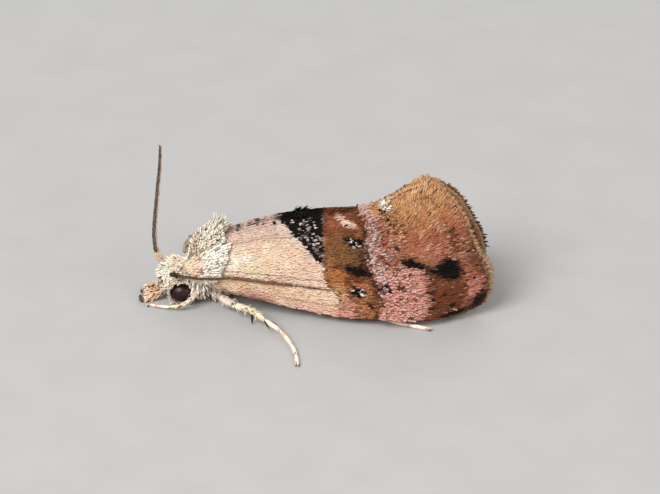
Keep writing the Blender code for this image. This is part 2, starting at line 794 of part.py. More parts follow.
def tegula_surface(a, b):
    """Points of the left tegula's inner face: a runs front to rear, b top to bottom."""
    a, b = np.broadcast_arrays(np.asarray(a, float), np.asarray(b, float))
    front = [np.array(p) * (1, LEFT, 1) for p in TEGULA_FRONT]
    bend = [np.array(p) * (1, LEFT, 1) for p in TEGULA_BEND]
    share = b[..., None]
    t = TEGULA_REAR_SPAN[0] + (TEGULA_REAR_SPAN[1] - TEGULA_REAR_SPAN[0]) * b
    s = np.full_like(t, TEGULA_REAR_REACH)
    rear = wing_surface(s, t) + wing_outward(s, t) * GAP * 1.2
    a = a[..., None]
    start = front[0] * (1 - share) + front[1] * share
    middle = bend[0] * (1 - share) + bend[1] * share
    middle = middle + np.array([0.0, LEFT * 0.10, 0.0]) * np.sin(math.pi * share)
    return start * (1 - a) ** 2 + middle * 2 * a * (1 - a) + rear * a**2


def make_tegula(side):
    """One tegula, a lobe over the root of the forewing, with locks along its rear edge."""
    a, b = np.meshgrid(np.linspace(0, 1, 9), np.linspace(0, 1, 7), indexing="ij")
    inner = tegula_surface(a, b)
    along = np.gradient(inner, axis=0)
    across = np.gradient(inner, axis=1)
    face = unit(np.cross(across, along))
    swell = (np.sin(math.pi * a) * np.sin(math.pi * b)) ** 0.5
    thickness = TEGULA_EDGE_THICKNESS + (TEGULA_THICKNESS - TEGULA_EDGE_THICKNESS) * swell
    outer = inner + face * thickness[..., None]
    name = "tegula_left" if side == LEFT else "tegula_right"
    item = node(name, on_side(closed_sheet(outer, inner), side), body_finish())
    rng = np.random.default_rng(9)
    count, *sizes = TEGULA_LOCKS
    forms = []
    for row, start in enumerate(TEGULA_LOCK_ROWS):
        for column in np.linspace(*TEGULA_LOCK_COLUMNS, count) + 0.25 * (row % 2):
            low, share = int(column), column % 1
            lie = unit(inner[-1, low] - inner[-3, low])
            outward = unit(face[start, low] * (1 - share) + face[start, low + 1] * share)
            along_it = unit(lie * 0.94 + outward * 0.30)
            root = outer[start, low] * (1 - share) + outer[start, low + 1] * share
            root = root - outward * 0.03 - along_it * 0.04
            forms.append(on_side(vane_form(root, along_it, outward, varied(sizes, rng), -0.2), side))
    fuse(item, forms, "MANIFOLD")


def make_abdomen():
    """Abdomen with shallow rings and a tuft at its tip."""

    def rings(fraction):
        return 1.0 - ABDOMEN_RING_DEPTH * (1 + math.cos(2 * math.pi * ABDOMEN_RINGS * fraction))

    form = body_form(ABDOMEN_SECTIONS, ABDOMEN_SIDES, 3 * ABDOMEN_RINGS, rings)
    item = node("abdomen", form, material("abdomen_scales", (0.55, 0.47, 0.38), 0.7))
    rng = np.random.default_rng(17)
    count, *sizes = TAIL_LOCKS
    forms = []
    for k in range(count):
        angle = 360 * (k + 0.5) / count
        lock_sizes = varied(sizes, rng)
        forms.append(
            lock_on(ABDOMEN_SECTIONS, TAIL_X, angle, (1, 0, 0), lock_sizes, TAIL_LIFT, 0.04)
        )
    fuse(item, forms)


def spur_forms(line, side, stations):
    """Pairs of spurs under a leg, each pair at a station along its line."""
    centres, radii = limb_path(line, side, 1)
    length, width, thickness = SPUR
    forms = []
    for station in stations:
        lie = unit(centres[station + 1] - centres[station])
        for sign in (-1, 1):
            aside = unit(np.cross(lie, (0.0, 0.0, 1.0))) * sign
            along = unit(lie + 0.45 * aside - (0, 0, 0.12))
            root = centres[station] + aside * radii[station] * 0.3
            sizes = (length, width, thickness)
            forms.append(vane_form(root, along, np.array([0.0, 0.0, 1.0]), sizes, 0.0, 0.3))
    return forms


def make_legs():
    """Six legs, each from its root under the thorax to its foot on the floor."""
    finish = material("leg_scales", (0.74, 0.66, 0.54), 0.7)
    lines = (
        ("leg_fore_left", LEG_FORE_NEAR, LEFT, ()),
        ("leg_fore_right", LEG_FORE_FAR, RIGHT, ()),
        ("leg_mid_left", LEG_MID_NEAR, LEFT, (4,)),
        ("leg_mid_right", LEG_MID_FAR, RIGHT, (4,)),
        ("leg_hind_left", LEG_HIND, LEFT, (4, 5)),
        ("leg_hind_right", LEG_HIND, RIGHT, (4, 5)),
    )
    for name, line, side, stations in lines:
        item = node(name, limb_form(line, side), finish)
        if stations:
            fuse(item, spur_forms(line, side, stations))


def main():
    """Build the whole moth."""
    remove_scene_objects()
    make_head()
    make_thorax()
    make_abdomen()
    make_antennae()
    make_legs()
    for side in (LEFT, RIGHT):
        make_eye(side)
        make_palp(side)
        make_tegula(side)
        make_forewing(side)
        make_hindwing(side)


main()
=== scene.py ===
"""The looks of a small leaf-roller moth at rest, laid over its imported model.

Skins, coats of single scales, the wings' fringe, eyes, feelers and legs are made here, with the
floor, the light and the camera. Lengths are millimetres unless a line says otherwise; MM turns
them into metres. The head points along -X, the moth's left side faces -Y, and z = 0 is the floor.
"""

import math

import bmesh
import bpy
import numpy as np
from bpy.props import FloatProperty, FloatVectorProperty, PointerProperty
from bpy.types import Operator, Panel, PropertyGroup
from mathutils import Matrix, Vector


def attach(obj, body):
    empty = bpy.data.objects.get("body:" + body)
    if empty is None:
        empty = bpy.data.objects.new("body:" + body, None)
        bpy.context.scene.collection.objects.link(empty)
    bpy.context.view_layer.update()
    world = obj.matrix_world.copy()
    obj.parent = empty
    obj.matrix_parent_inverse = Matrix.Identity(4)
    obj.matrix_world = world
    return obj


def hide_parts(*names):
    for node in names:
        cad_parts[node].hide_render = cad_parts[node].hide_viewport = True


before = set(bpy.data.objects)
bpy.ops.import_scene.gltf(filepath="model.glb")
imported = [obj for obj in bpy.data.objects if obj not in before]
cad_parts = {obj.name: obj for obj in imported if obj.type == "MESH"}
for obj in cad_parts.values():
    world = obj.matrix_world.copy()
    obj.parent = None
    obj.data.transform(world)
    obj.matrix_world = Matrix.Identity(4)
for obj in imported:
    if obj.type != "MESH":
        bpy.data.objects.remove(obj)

bl_info = {
    "name": "Resting moth",
    "version": (1, 0, 0),
    "blender": (4, 5, 0),
    "location": "3D View > Sidebar > Moth",
    "description": "Builds the scales, fringe, eyes and limbs of a small moth at rest",
    "category": "Object",
}

MM = 0.001
LEFT, RIGHT = -1, 1
SIDE_NAMES = {LEFT: "left", RIGHT: "right"}

# Forewing edges: fraction of the wing's length, then x, distance from the midline and height
DORSUM = (
    (0.00, -1.66, 0.085, 1.33), (0.25, -0.80, 0.070, 1.61), (0.50, 0.08, 0.070, 1.74),
    (0.70, 0.85, 0.075, 1.80), (0.80, 1.22, 0.085, 1.93), (0.90, 1.58, 0.100, 2.17),
    (1.00, 1.93, 0.115, 2.32),
)
COSTA = (
    (0.00, -2.00, 0.50, 0.43), (0.12, -1.50, 0.71, 0.38), (0.25, -0.87, 0.85, 0.29),
    (0.38, -0.28, 0.97, 0.21), (0.53, 0.50, 1.17, 0.16), (0.66, 1.14, 1.26, 0.18),
    (0.76, 1.60, 1.33, 0.185), (0.86, 2.08, 1.26, 0.165), (0.94, 2.50, 1.06, 0.16),
    (1.00, 2.84, 0.90, 0.22),
)
ARCH = ((0.0, 0.17), (0.25, 0.25), (0.55, 0.24), (0.8, 0.17), (1.0, 0.16))
TERMEN_BOW = 0.37
TERMEN_SQUARENESS = 5.0
MIDLINE_CLEARANCE = 0.022
# How far the skin and the scales' roots lie under the wing's outer face
WING_SKIN_DEPTH = 0.0135
WING_ROOT_DEPTH = 0.010
# The wing's rough width, and the fraction of its length at the last row of scales
WING_WIDTH = 1.9
LAST_WING_ROW = 0.997
# Veins: fraction from dorsum to costa, where each starts along the wing, and height
VEINS = (
    (0.055, 0.02, 0.026), (0.22, 0.02, 0.030), (0.33, 0.56, 0.022), (0.44, 0.56, 0.022),
    (0.55, 0.56, 0.022), (0.66, 0.02, 0.030), (0.89, 0.30, 0.024),
)
VEIN_HALF_WIDTH = 0.011
# The share of the veins' height that shows under the scales
VEIN_SHARE = 0.35
# The groove above the folded edge, and the step up to the raised scales of the outer third
FOLD_AT, FOLD_DEPTH, FOLD_HALF_WIDTH = 0.77, 0.045, 0.016
STEP_LINE = (
    (0.00, 0.665), (0.08, 0.650), (0.20, 0.664), (0.35, 0.636),
    (0.51, 0.634), (0.63, 0.650), (0.82, 0.654), (1.00, 0.660),
)
STEP_SPAN = (0.60, 0.70)
STEP_HEIGHT = 0.07
# Scales of the outer third spread like a fan from this place, in fractions s and t
FAN_CENTRE = (0.72, 0.52)
# On each side, how much shorter the worn fringe is, and at which t the wear ends
FRINGE_WORN = {LEFT: (0.30, 0.70), RIGHT: (0.65, 0.98)}

# Body sections: x, height of the centre, half width, half height
BODY_SECTIONS = (
    (-2.92, 0.37, 0.10, 0.11), (-2.86, 0.37, 0.22, 0.21), (-2.74, 0.38, 0.32, 0.29),
    (-2.58, 0.40, 0.37, 0.33), (-2.46, 0.43, 0.33, 0.31), (-2.38, 0.51, 0.29, 0.29),
    (-2.27, 0.66, 0.33, 0.45), (-2.12, 0.74, 0.37, 0.57), (-1.95, 0.78, 0.35, 0.60),
    (-1.80, 0.77, 0.31, 0.58), (-1.66, 0.74, 0.29, 0.42), (-1.50, 0.73, 0.28, 0.35),
    (-1.36, 0.72, 0.24, 0.28), (-1.20, 0.72, 0.31, 0.34), (-0.80, 0.71, 0.34, 0.36),
    (-0.20, 0.69, 0.36, 0.37), (0.50, 0.66, 0.35, 0.35), (1.00, 0.63, 0.30, 0.30),
    (1.35, 0.60, 0.23, 0.23), (1.60, 0.58, 0.15, 0.15), (1.72, 0.57, 0.07, 0.07),
)
BODY_START, BODY_END = BODY_SECTIONS[0][0], BODY_SECTIONS[-1][0]
# The body's rough girth, and where thorax and abdomen meet
BODY_GIRTH = 2.2
WAIST_X = -1.36
ABDOMEN_RINGS = 7
ABDOMEN_RING_DEPTH = 0.03
COAT_DEPTH = 0.035
# How far the thorax's upper sides swell towards the tegulae
SHOULDER_SWELL = 0.075

EYE_RADIUS = 0.195
EYE_CENTRE = (-2.48, 0.335, 0.237)
EYE_SHAPE = (1.10, 0.92, 0.93)

# The tegula: upper and lower point of its front and of its bend, and its rear edge on the wing
TEGULA_EDGES = (((-2.43, 0.36, 0.84), (-2.45, 0.41, 0.65)), ((-2.07, 0.46, 1.25), (-2.12, 0.60, 0.50)))
TEGULA_REAR_REACH = 0.030
TEGULA_REAR_SPAN = (0.28, 0.82)

# Each limb is a line of points (x, distance from the midline, height, radius)
PALPS = {
    LEFT: (
        (-2.80, 0.165, 0.205, 0.050), (-2.88, 0.190, 0.165, 0.085), (-3.00, 0.225, 0.120, 0.095),
        (-3.09, 0.245, 0.092, 0.078), (-3.15, 0.255, 0.072, 0.048), (-3.19, 0.260, 0.058, 0.024),
    ),
    RIGHT: (
        (-2.80, 0.150, 0.205, 0.050), (-2.88, 0.120, 0.165, 0.080), (-2.98, 0.085, 0.120, 0.090),
        (-3.07, 0.065, 0.092, 0.072), (-3.13, 0.055, 0.072, 0.046), (-3.17, 0.050, 0.058, 0.024),
    ),
}
FEELER_UPRIGHT = (
    (-2.84, 0.16, 0.60, 0.070), (-2.90, 0.18, 0.69, 0.075), (-2.95, 0.21, 0.80, 0.060),
    (-2.98, 0.25, 1.05, 0.055), (-2.975, 0.30, 1.32, 0.055), (-2.94, 0.37, 1.70, 0.052),
    (-2.91, 0.44, 2.06, 0.048), (-2.875, 0.50, 2.42, 0.042), (-2.865, 0.55, 2.79, 0.030),
)
FEELER_FOLDED = (
    (-2.70, 0.37, 0.62, 0.050), (-2.60, 0.47, 0.66, 0.052), (-2.45, 0.57, 0.68, 0.052),
    (-2.17, 0.68, 0.70, 0.055), (-1.88, 0.73, 0.72, 0.055),
)
# The rest of the folded feeler lies on the forewing: wing fractions s and t, then the radius
FEELER_ON_WING = ((0.10, 0.768, 0.055), (0.18, 0.764, 0.052), (0.26, 0.759, 0.046), (0.335, 0.755, 0.036))
FEELER_CLEARANCE = 0.020
FOLDED_SHARE = 0.48
LEG_FORE_NEAR = (
    (-2.18, 0.26, 0.33, 0.085), (-2.22, 0.42, 0.27, 0.095), (-2.33, 0.60, 0.20, 0.075),
    (-2.50, 0.66, 0.14, 0.060), (-2.70, 0.62, 0.075, 0.055), (-2.90, 0.55, 0.050, 0.052),
    (-3.07, 0.48, 0.045, 0.050),
)
LEG_FORE_FAR = (
    (-2.18, 0.26, 0.33, 0.085), (-2.20, 0.44, 0.27, 0.095), (-2.24, 0.64, 0.22, 0.075),
    (-2.36, 0.74, 0.16, 0.060), (-2.52, 0.74, 0.080, 0.055), (-2.68, 0.68, 0.050, 0.052),
    (-2.80, 0.60, 0.045, 0.050),
)
LEG_MID_NEAR = (
    (-1.90, 0.27, 0.27, 0.080), (-1.78, 0.46, 0.20, 0.095), (-1.50, 0.80, 0.21, 0.085),
    (-1.23, 1.10, 0.28, 0.070), (-0.95, 1.34, 0.20, 0.060), (-0.67, 1.57, 0.095, 0.055),
    (-0.47, 2.00, 0.060, 0.052), (-0.39, 2.35, 0.048, 0.050), (-0.36, 2.66, 0.045, 0.050),
)
LEG_MID_FAR = (
    (-1.90, 0.27, 0.27, 0.080), (-1.76, 0.46, 0.20, 0.095), (-1.44, 0.80, 0.21, 0.085),
    (-1.12, 1.08, 0.28, 0.070), (-0.84, 1.32, 0.20, 0.060), (-0.56, 1.56, 0.095, 0.055),
    (-0.33, 1.96, 0.060, 0.052), (-0.23, 2.30, 0.048, 0.050), (-0.18, 2.60, 0.045, 0.050),
)
LEG_HIND = (
    (-1.42, 0.20, 0.35, 0.080), (-1.20, 0.34, 0.27, 0.095), (-0.80, 0.46, 0.25, 0.095),
    (-0.42, 0.52, 0.27, 0.080), (0.10, 0.62, 0.22, 0.070), (0.60, 0.73, 0.16, 0.065),
    (0.92, 0.86, 0.085, 0.058), (1.30, 1.08, 0.052, 0.052), (1.68, 1.25, 0.046, 0.050),
    (2.02, 1.38, 0.045, 0.050),
)
# Legs: node, line, side and the stations that carry spurs
LEGS = (
    ("leg_fore_left", LEG_FORE_NEAR, LEFT, ()),
    ("leg_fore_right", LEG_FORE_FAR, RIGHT, ()),
    ("leg_mid_left", LEG_MID_NEAR, LEFT, (4,)),
    ("leg_mid_right", LEG_MID_FAR, RIGHT, (4,)),
    ("leg_hind_left", LEG_HIND, LEFT, (4, 5)),
    ("leg_hind_right", LEG_HIND, RIGHT, (4, 5)),
)

# Outlines of single scales: share of the length, share of the width, share of the thickness
WING_SCALE = ((0.30, 0.80, 1.0), (0.84, 1.0, 0.8))
BODY_SCALE = ((0.25, 0.45, 1.0), (0.60, 0.90, 0.9), (0.90, 0.85, 0.6))
HAIR_SCALE = ((0.12, 0.9, 1.0), (0.45, 1.0, 0.9), (0.80, 0.75, 0.7))

# Rings of a feeler between two points of its line, and a spike's rings: share of length, of radius
FEELER_RINGS = 8.0
SPIKE = ((0.0, 0.8), (0.3, 1.0), (0.7, 0.7), (1.0, 0.15))
SPIKE_SIDES = 6
# The spur under a middle leg's knee: station, length and radius
KNEE_SPUR = (3.15, 0.27, 0.032)
# Added to "across" on the folded feeler, so that its finish knows it
FOLDED_MARK = 4.0

# Wing markings are placed in fractions s and t; s is stretched by this so that both match
WING_ASPECT = 2.75
PATCH_SIZE = 0.003
# Pieces with these endings are shaded smooth
SMOOTH = ("skin", "rings", "facets")

# The picture's width and scale are the photo's; the camera and the lights point at AIM
FRAME_WIDTH_PX = 660
PIXELS_PER_MM = 54.7
SENSOR_WIDTH = 36.0
AIM = (0.2285, 0.0, 0.982)
# Half of the floor's side
FLOOR_HALF = 900.0


def through(knots, x):
    """The smooth value at x of a curve through knots, each an x followed by one or more values."""
    table = np.array(knots, float)
    at, values = table[:, 0], table[:, 1:]
    slopes = np.gradient(values, at, axis=0)
    x = np.clip(np.atleast_1d(np.asarray(x, float)), at[0], at[-1])
    cell = np.clip(np.searchsorted(at, x, side="right") - 1, 0, len(at) - 2)
    step = (at[cell + 1] - at[cell])[:, None]
    u = (x - at[cell])[:, None] / step
    start = values[cell] * (1 + 2 * u) * (1 - u) ** 2 + slopes[cell] * step * u * (1 - u) ** 2
    end = values[cell + 1] * u**2 * (3 - 2 * u) + slopes[cell + 1] * step * u**2 * (u - 1)
    return start + end


def smoothstep(low, high, x):
    """0 below low, 1 above high and a smooth climb between."""
    u = np.clip((x - low) / (high - low), 0.0, 1.0)
    return u * u * (3 - 2 * u)


def within(x, start, full, fade, end):
    """0 outside start and end, 1 from full to fade and smooth between."""
    return smoothstep(start, full, x) * (1 - smoothstep(fade, end, x))


def unit(vectors):
    """Vectors of length 1 along the given ones."""
    return vectors / np.maximum(np.linalg.norm(vectors, axis=-1, keepdims=True), 1e-12)


def square_to(vectors, axis):
    """Unit vectors made square to a unit axis."""
    return unit(vectors - axis * np.sum(vectors * axis, axis=-1, keepdims=True))


def spokes(up, beside, turn):
    """Directions round an axis, by angle from up towards beside."""
    return up * np.cos(turn)[..., None] + beside * np.sin(turn)[..., None]


def leaning(lie, face, swing, lift):
    """Directions that lie along a surface, turned aside by a swing and raised by a lift in degrees."""
    lie = unit(lie + np.cross(face, lie) * np.reshape(swing, (-1, 1)))
    rise = np.radians(np.reshape(lift, (-1, 1)))
    return lie * np.cos(rise) + face * np.sin(rise)


def matched(a, b):
    """Two numbers or arrays as float arrays of one shape."""
    return np.broadcast_arrays(np.asarray(a, float), np.asarray(b, float))


def triple(a, b, c=0.0):
    """Vectors of three numbers or arrays."""
    return np.stack(np.broadcast_arrays(a, b, c), axis=-1)


def lattice(rows, columns, first=(0.0, 0.0), last=(1.0, 1.0)):
    """Two fractions over a grid."""
    a, b = np.linspace(first[0], last[0], rows), np.linspace(first[1], last[1], columns)
    return np.meshgrid(a, b, indexing="ij")


def outward_of(surface, a, b, d, low, high):
    """The unit direction out of a surface of two fractions, each held between low and high."""
    a, b = matched(a, b)
    along = surface(np.clip(a + d, low, high), b) - surface(np.clip(a - d, low, high), b)
    across = surface(a, np.clip(b + d, low, high)) - surface(a, np.clip(b - d, low, high))
    return unit(np.cross(across, along))


def wing_surface(s, t):
    """Points of the left forewing's outer face: s runs base to termen, t dorsum to costa."""
    s, t = matched(s, t)
    flat_s, flat_t = s.ravel(), t.ravel()[:, None]
    dorsum = through(DORSUM, flat_s) * (1, LEFT, 1)
    chord = through(COSTA, flat_s) * (1, LEFT, 1) - dorsum
    outward = unit(np.stack([0 * chord[:, 0], chord[:, 2], -chord[:, 1]], axis=1))
    arch = through(ARCH, flat_s) * np.sin(math.pi * np.clip(flat_t, 0.0, 1.0)) ** 0.9
    points = dorsum + chord * flat_t + outward * arch
    bow = TERMEN_BOW * (1 - np.abs(2 * flat_t[:, 0] - 1) ** TERMEN_SQUARENESS)
    points[:, 0] += bow * smoothstep(0.45, 1.0, flat_s)
    return points.reshape(*s.shape, 3)


def wing_outward(s, t):
    """The unit direction out of the left forewing's outer face."""
    return outward_of(wing_surface, s, t, 0.004, 0.0, 1.0)


def wing_lie(s, t):
    """The unit direction in which the left forewing's scales lie, from base to termen."""
    ahead = np.minimum(s + 0.01, 1)
    return unit(wing_surface(ahead, t) - wing_surface(ahead - 0.02, t))


def wing_flow(s, t):
    """The unit direction of the left forewing's scales: its lie, spread like a fan further out."""
    spread = square_to(wing_surface(s, t) - wing_surface(*FAN_CENTRE), wing_outward(s, t))
    share = (smoothstep(0.74, 0.90, s) * (1 - smoothstep(0.50, 0.75, t)))[..., None]
    return unit(wing_lie(s, t) * (1 - share) + spread * share)


def step_line(t):
    """Where along the wing the step of raised scales runs, by fraction t."""
    t = np.asarray(t, float)
    return through(STEP_LINE, t.ravel())[:, 0].reshape(t.shape)


def wing_relief(s, t):
    """Height of veins, fold and raised scales over the forewing's plain outer face."""
    height = np.zeros(np.broadcast(s, t).shape)
    for at, start, tall in VEINS:
        ridge = np.exp(-(((t - at) / VEIN_HALF_WIDTH) ** 2))
        height = height + VEIN_SHARE * tall * ridge * smoothstep(start - 0.02, start + 0.06, s)
    fold = np.exp(-(((t - FOLD_AT) / FOLD_HALF_WIDTH) ** 2))
    height = height - FOLD_DEPTH * fold * within(s, 0.02, 0.1, 0.42, 0.56)
    step = within(s - step_line(t), -0.008, 0.006, 0.05, 0.16)
    return height + STEP_HEIGHT * step * smoothstep(0.05, 0.2, t)


def wing_thickening(s, t):
    """Where the forewing is thicker: 0 at its edges and its end, 1 over the body."""
    return np.sin(math.pi * t) ** 0.7 * within(s, 0.0, 0.2, 0.6, 1.0)


def held_left(points):
    """Points moved clear of the mirror plane, on the left."""
    points = np.array(points)
    points[..., 1] = np.minimum(points[..., 1], -MIDLINE_CLEARANCE)
    return points


def body_profile(x):
    """Height of the centre, half width and half height of the body at x, with its rings."""
    height, half_width, half_height = through(BODY_SECTIONS, x).T
    share = np.clip((x - WAIST_X) / (BODY_END - WAIST_X), 0.0, 1.0)
    swell = 1 - ABDOMEN_RING_DEPTH * (1 - np.cos(2 * math.pi * ABDOMEN_RINGS * share)) * (share > 0)
    return height, half_width * swell, half_height * swell


def body_surface(x, turn):
    """Points of the body's surface; turn is in degrees and 90 is its top."""
    x, turn = matched(x, np.radians(turn))
    height, wide, tall = (v.reshape(x.shape) for v in body_profile(x.ravel()))
    shoulder = within(x, -2.44, -2.24, -1.80, -1.58)
    wide = wide + SHOULDER_SWELL * shoulder * smoothstep(-0.2, 0.5, np.sin(turn))
    return np.stack([x, wide * np.cos(turn), height + tall * np.sin(turn)], axis=-1)


def body_points(x, turn, depth):
    """Points at a depth under the body's surface, and the outward directions."""
    ahead, behind = np.minimum(x + 0.012, BODY_END), np.maximum(x - 0.012, BODY_START)
    along = body_surface(ahead, turn) - body_surface(behind, turn)
    around = body_surface(x, turn + 2.0) - body_surface(x, turn - 2.0)
    outward = unit(np.cross(around, along))
    thin = through(BODY_SECTIONS, np.ravel(x))[:, 1].reshape(np.shape(x))
    return body_surface(x, turn) - outward * np.minimum(depth, 0.5 * thin)[..., None], outward


def tegula_surface(a, b):
    """Points of the left tegula's inner face: a runs front to rear, b top to bottom."""
    a, b = matched(a, b)
    t = TEGULA_REAR_SPAN[0] + (TEGULA_REAR_SPAN[1] - TEGULA_REAR_SPAN[0]) * b
    s = np.full_like(t, TEGULA_REAR_REACH)
    rear = wing_surface(s, t) + wing_outward(s, t) * 0.054
    a, b = a[..., None], b[..., None]
    edges = np.array(TEGULA_EDGES) * (1, LEFT, 1)
    start, middle = (top * (1 - b) + low * b for top, low in edges)
    middle = middle + np.array([0.0, LEFT * 0.10, 0.0]) * np.sin(math.pi * b)
    return start * (1 - a) ** 2 + middle * 2 * a * (1 - a) + rear * a**2


def tegula_outward(a, b):
    """The unit direction out of the left tegula."""
    return outward_of(tegula_surface, a, b, 0.01, -1.0, 2.0)


def tegula_depth(a, b):
    """Thickness of the tegula's skin."""
    inside = np.sin(math.pi * np.clip(a, 0, 1)) * np.sin(math.pi * np.clip(b, 0, 1))
    return 0.03 + 0.03 * inside**0.5


def folded_feeler():
    """The folded feeler's line: past the tegula and then along the forewing's outer face."""
    line = [(x, out, z, FOLDED_SHARE * radius) for x, out, z, radius in FEELER_FOLDED]
    for s, t, radius in FEELER_ON_WING:
        radius = FOLDED_SHARE * radius
        x, y, z = wing_surface(s, t) + wing_outward(s, t) * (FEELER_CLEARANCE + radius)
        line.append((x, LEFT * y, z, radius))
    return tuple(line)


def limb_frame(line, side, stations):
    """Centres, radii, and the directions along, up and beside at fractional stations of a limb."""
    knots = [(i, x, side * out, z, radius) for i, (x, out, z, radius) in enumerate(line)]
    fine = np.linspace(0, len(line) - 1, (len(line) - 1) * 24 + 1)
    path = through(knots, fine)
    tangents = unit(np.gradient(path[:, :3], axis=0))
    up = np.array([0.0, 0.0, 1.0]) if abs(tangents[0, 2]) < 0.9 else np.array([0.0, 1.0, 0.0])
    ups = []
    for tangent in tangents:
        up = square_to(up, tangent)
        ups.append(up)
    columns = np.concatenate([path, tangents, np.array(ups)], axis=1)
    at = np.array([np.interp(stations, fine, column) for column in columns.T]).T
    along = unit(at[:, 4:7])
    up = square_to(at[:, 7:10], along)
    return at[:, :3], at[:, 3], along, up, np.cross(along, up)


# What the finishes read: place is where a marking falls, tone differs from scale to scale, reach runs
# from root to tip and across from side to side
def mesh_arrays(points, faces, place, unwrap, tone=0.5, reach=0.5, across=0.0):
    """A mesh's points, triangles and attributes; a single number is given to all points."""
    numbers = {"tone": tone, "reach": reach, "across": across}
    spread = {key: np.broadcast_to(value, (len(points),)) for key, value in numbers.items()}
    return {"points": points, "faces": faces, "place": place, "unwrap": unwrap, **spread}


class Coat:
    """Scales gathered for one mesh, each a closed tapered blade with its own place and tone."""

    def __init__(self, outline, seed):
        self.outline = outline
        self.rng = np.random.default_rng(seed)
        self.batches = []

    def add(self, root, along, facing, sizes, bend, place, unwrap):
        """Add scales: roots, directions, (length, width, thickness) each, and what colours them."""
        columns = [np.broadcast_to(value, (len(root),)) for value in (*sizes, bend)]
        tone = self.rng.random(len(root))
        self.batches.append((root, unit(along), facing, *columns, place, tone, unwrap))

    def arrays(self):
        """All scales as one mesh."""
        gathered = [np.concatenate(column) for column in zip(*self.batches)]
        root, along, facing, length, width, thick, bend, place, tone, unwrap = gathered
        facing = square_to(facing, along)
        corners = [(0.0, 0.0, 0.0)]
        for share, wide, tall in self.outline:
            corners += [(share, -wide / 2, 0.0), (share, 0.0, tall), (share, wide / 2, 0.0)]
        corners = np.array([*corners, (1.0, 0.0, 0.0)])
        share, aside, rise = corners.T
        points = root[:, None] + along[:, None] * (length[:, None] * share)[..., None]
        rise = (bend * length)[:, None] * share**2 + thick[:, None] * rise
        points = points + facing[:, None] * rise[..., None]
        points = points + np.cross(facing, along)[:, None] * (width[:, None] * aside)[..., None]
        count, each = points.shape[:2]
        faces = np.arange(count)[:, None, None] * each + np.array(self.triangles())
        patch = unwrap[:, None] + PATCH_SIZE * (corners[:, :2] - (0.5, 0.0))
        return mesh_arrays(
            points.reshape(-1, 3),
            faces.reshape(-1, 3),
            np.repeat(place, each, axis=0),
            patch.reshape(-1, 2),
            np.repeat(tone, each),
            np.tile(share, count),
            np.tile(aside, count),
        )

    def triangles(self):
        """Corner numbers of one scale's triangles, all facing out."""
        tip = 1 + 3 * len(self.outline)
        ring = np.array([(1, 2), (2, 3), (3, 1)])
        faces = [(0, a, b) for a, b in ring]
        for a, b in np.concatenate([ring + shift for shift in range(0, tip - 4, 3)]):
            faces += [(a, a + 3, b + 3), (a, b + 3, b)]
        return faces + [(a, tip, b) for a, b in ring + tip - 4]


def sheet_arrays(outer, inner, place, unwrap):
    """A closed sheet between two grids of points; the faces wind out of the outer one."""
    count = outer[..., 0].size
    number = np.arange(count).reshape(outer.shape[:2])
    a, b = number[:-1, :-1].ravel(), number[:-1, 1:].ravel()
    c, d = number[1:, :-1].ravel(), number[1:, 1:].ravel()
    rim = np.concatenate([number[:, 0], number[-1, 1:], number[-2::-1, -1], number[0, -2:0:-1]])
    ahead = np.roll(rim, -1)
    under = np.add([(a, d, b), (a, c, d)], count)
    sides = [(rim, ahead, ahead + count), (rim, ahead + count, rim + count)]
    faces = np.hstack([(a, b, d), (a, d, c), *under, *sides]).T
    points = np.concatenate([outer.reshape(-1, 3), inner.reshape(-1, 3)])
    flat = unwrap.reshape(-1, 2) * (0.5, 1)
    place = np.concatenate([place.reshape(-1, 3)] * 2)
    return mesh_arrays(points, faces, place, np.concatenate([flat, flat + (0.5, 0)]))


def tube_arrays(rings, place, tone=0.5):
    """A closed tube through rings of points, rounded off at both ends."""
    count, sides = rings.shape[:2]
    points = np.concatenate([rings.reshape(-1, 3), rings[:1].mean(1), rings[-1:].mean(1)])
    number = np.arange(count * sides).reshape(count, sides)
    ahead = np.roll(number, -1, axis=1)
    a, b, c, d = (part.ravel() for part in (number[:-1], ahead[:-1], number[1:], ahead[1:]))
    first, last = np.full(sides, count * sides), np.full(sides, count * sides + 1)
    ends = [(first, ahead[0], number[0]), (last, number[-1], ahead[-1])]
    faces = np.hstack([(a, b, d), (a, d, c), *ends]).T
    share = np.repeat(np.linspace(0, 1, count), sides)
    around = np.tile(np.arange(sides) / sides, count)
    unwrap = np.concatenate([flat_map(share, around), [[0.01, 0.5], [0.99, 0.5]]])
    place = np.concatenate([place.reshape(-1, 3), place[:1, 0], place[-1:, 0]])
    return mesh_arrays(points, faces, place, unwrap, tone, np.concatenate([share, [0.0, 1.0]]))


def flat_map(a, b):
    """Bake map places of two fractions."""
    return 0.02 + 0.96 * np.stack([a, b], axis=-1)


def joined(parts):
    """Several meshes' arrays as one mesh's arrays."""
    shifts = np.cumsum([0] + [len(part["points"]) for part in parts])
    made = {key: np.concatenate([part[key] for part in parts]) for key in parts[0] if key != "faces"}
    made["faces"] = np.concatenate([part["faces"] + shift for part, shift in zip(parts, shifts)])
    return made


def on_side(arrays, side):
    """Left-hand arrays as they are, or mirrored to the right."""
    if side == LEFT:
        return arrays
    return {**arrays, "points": arrays["points"] * (1, -1, 1), "faces": arrays["faces"][:, ::-1]}


def held(arrays):
    """Arrays kept clear of the mirror plane, on the left."""
    return {**arrays, "points": held_left(arrays["points"])}


def added(name, data):
    """A new object in the scene."""
    made = bpy.data.objects.new(name, data)
    bpy.context.scene.collection.objects.link(made)
    return made


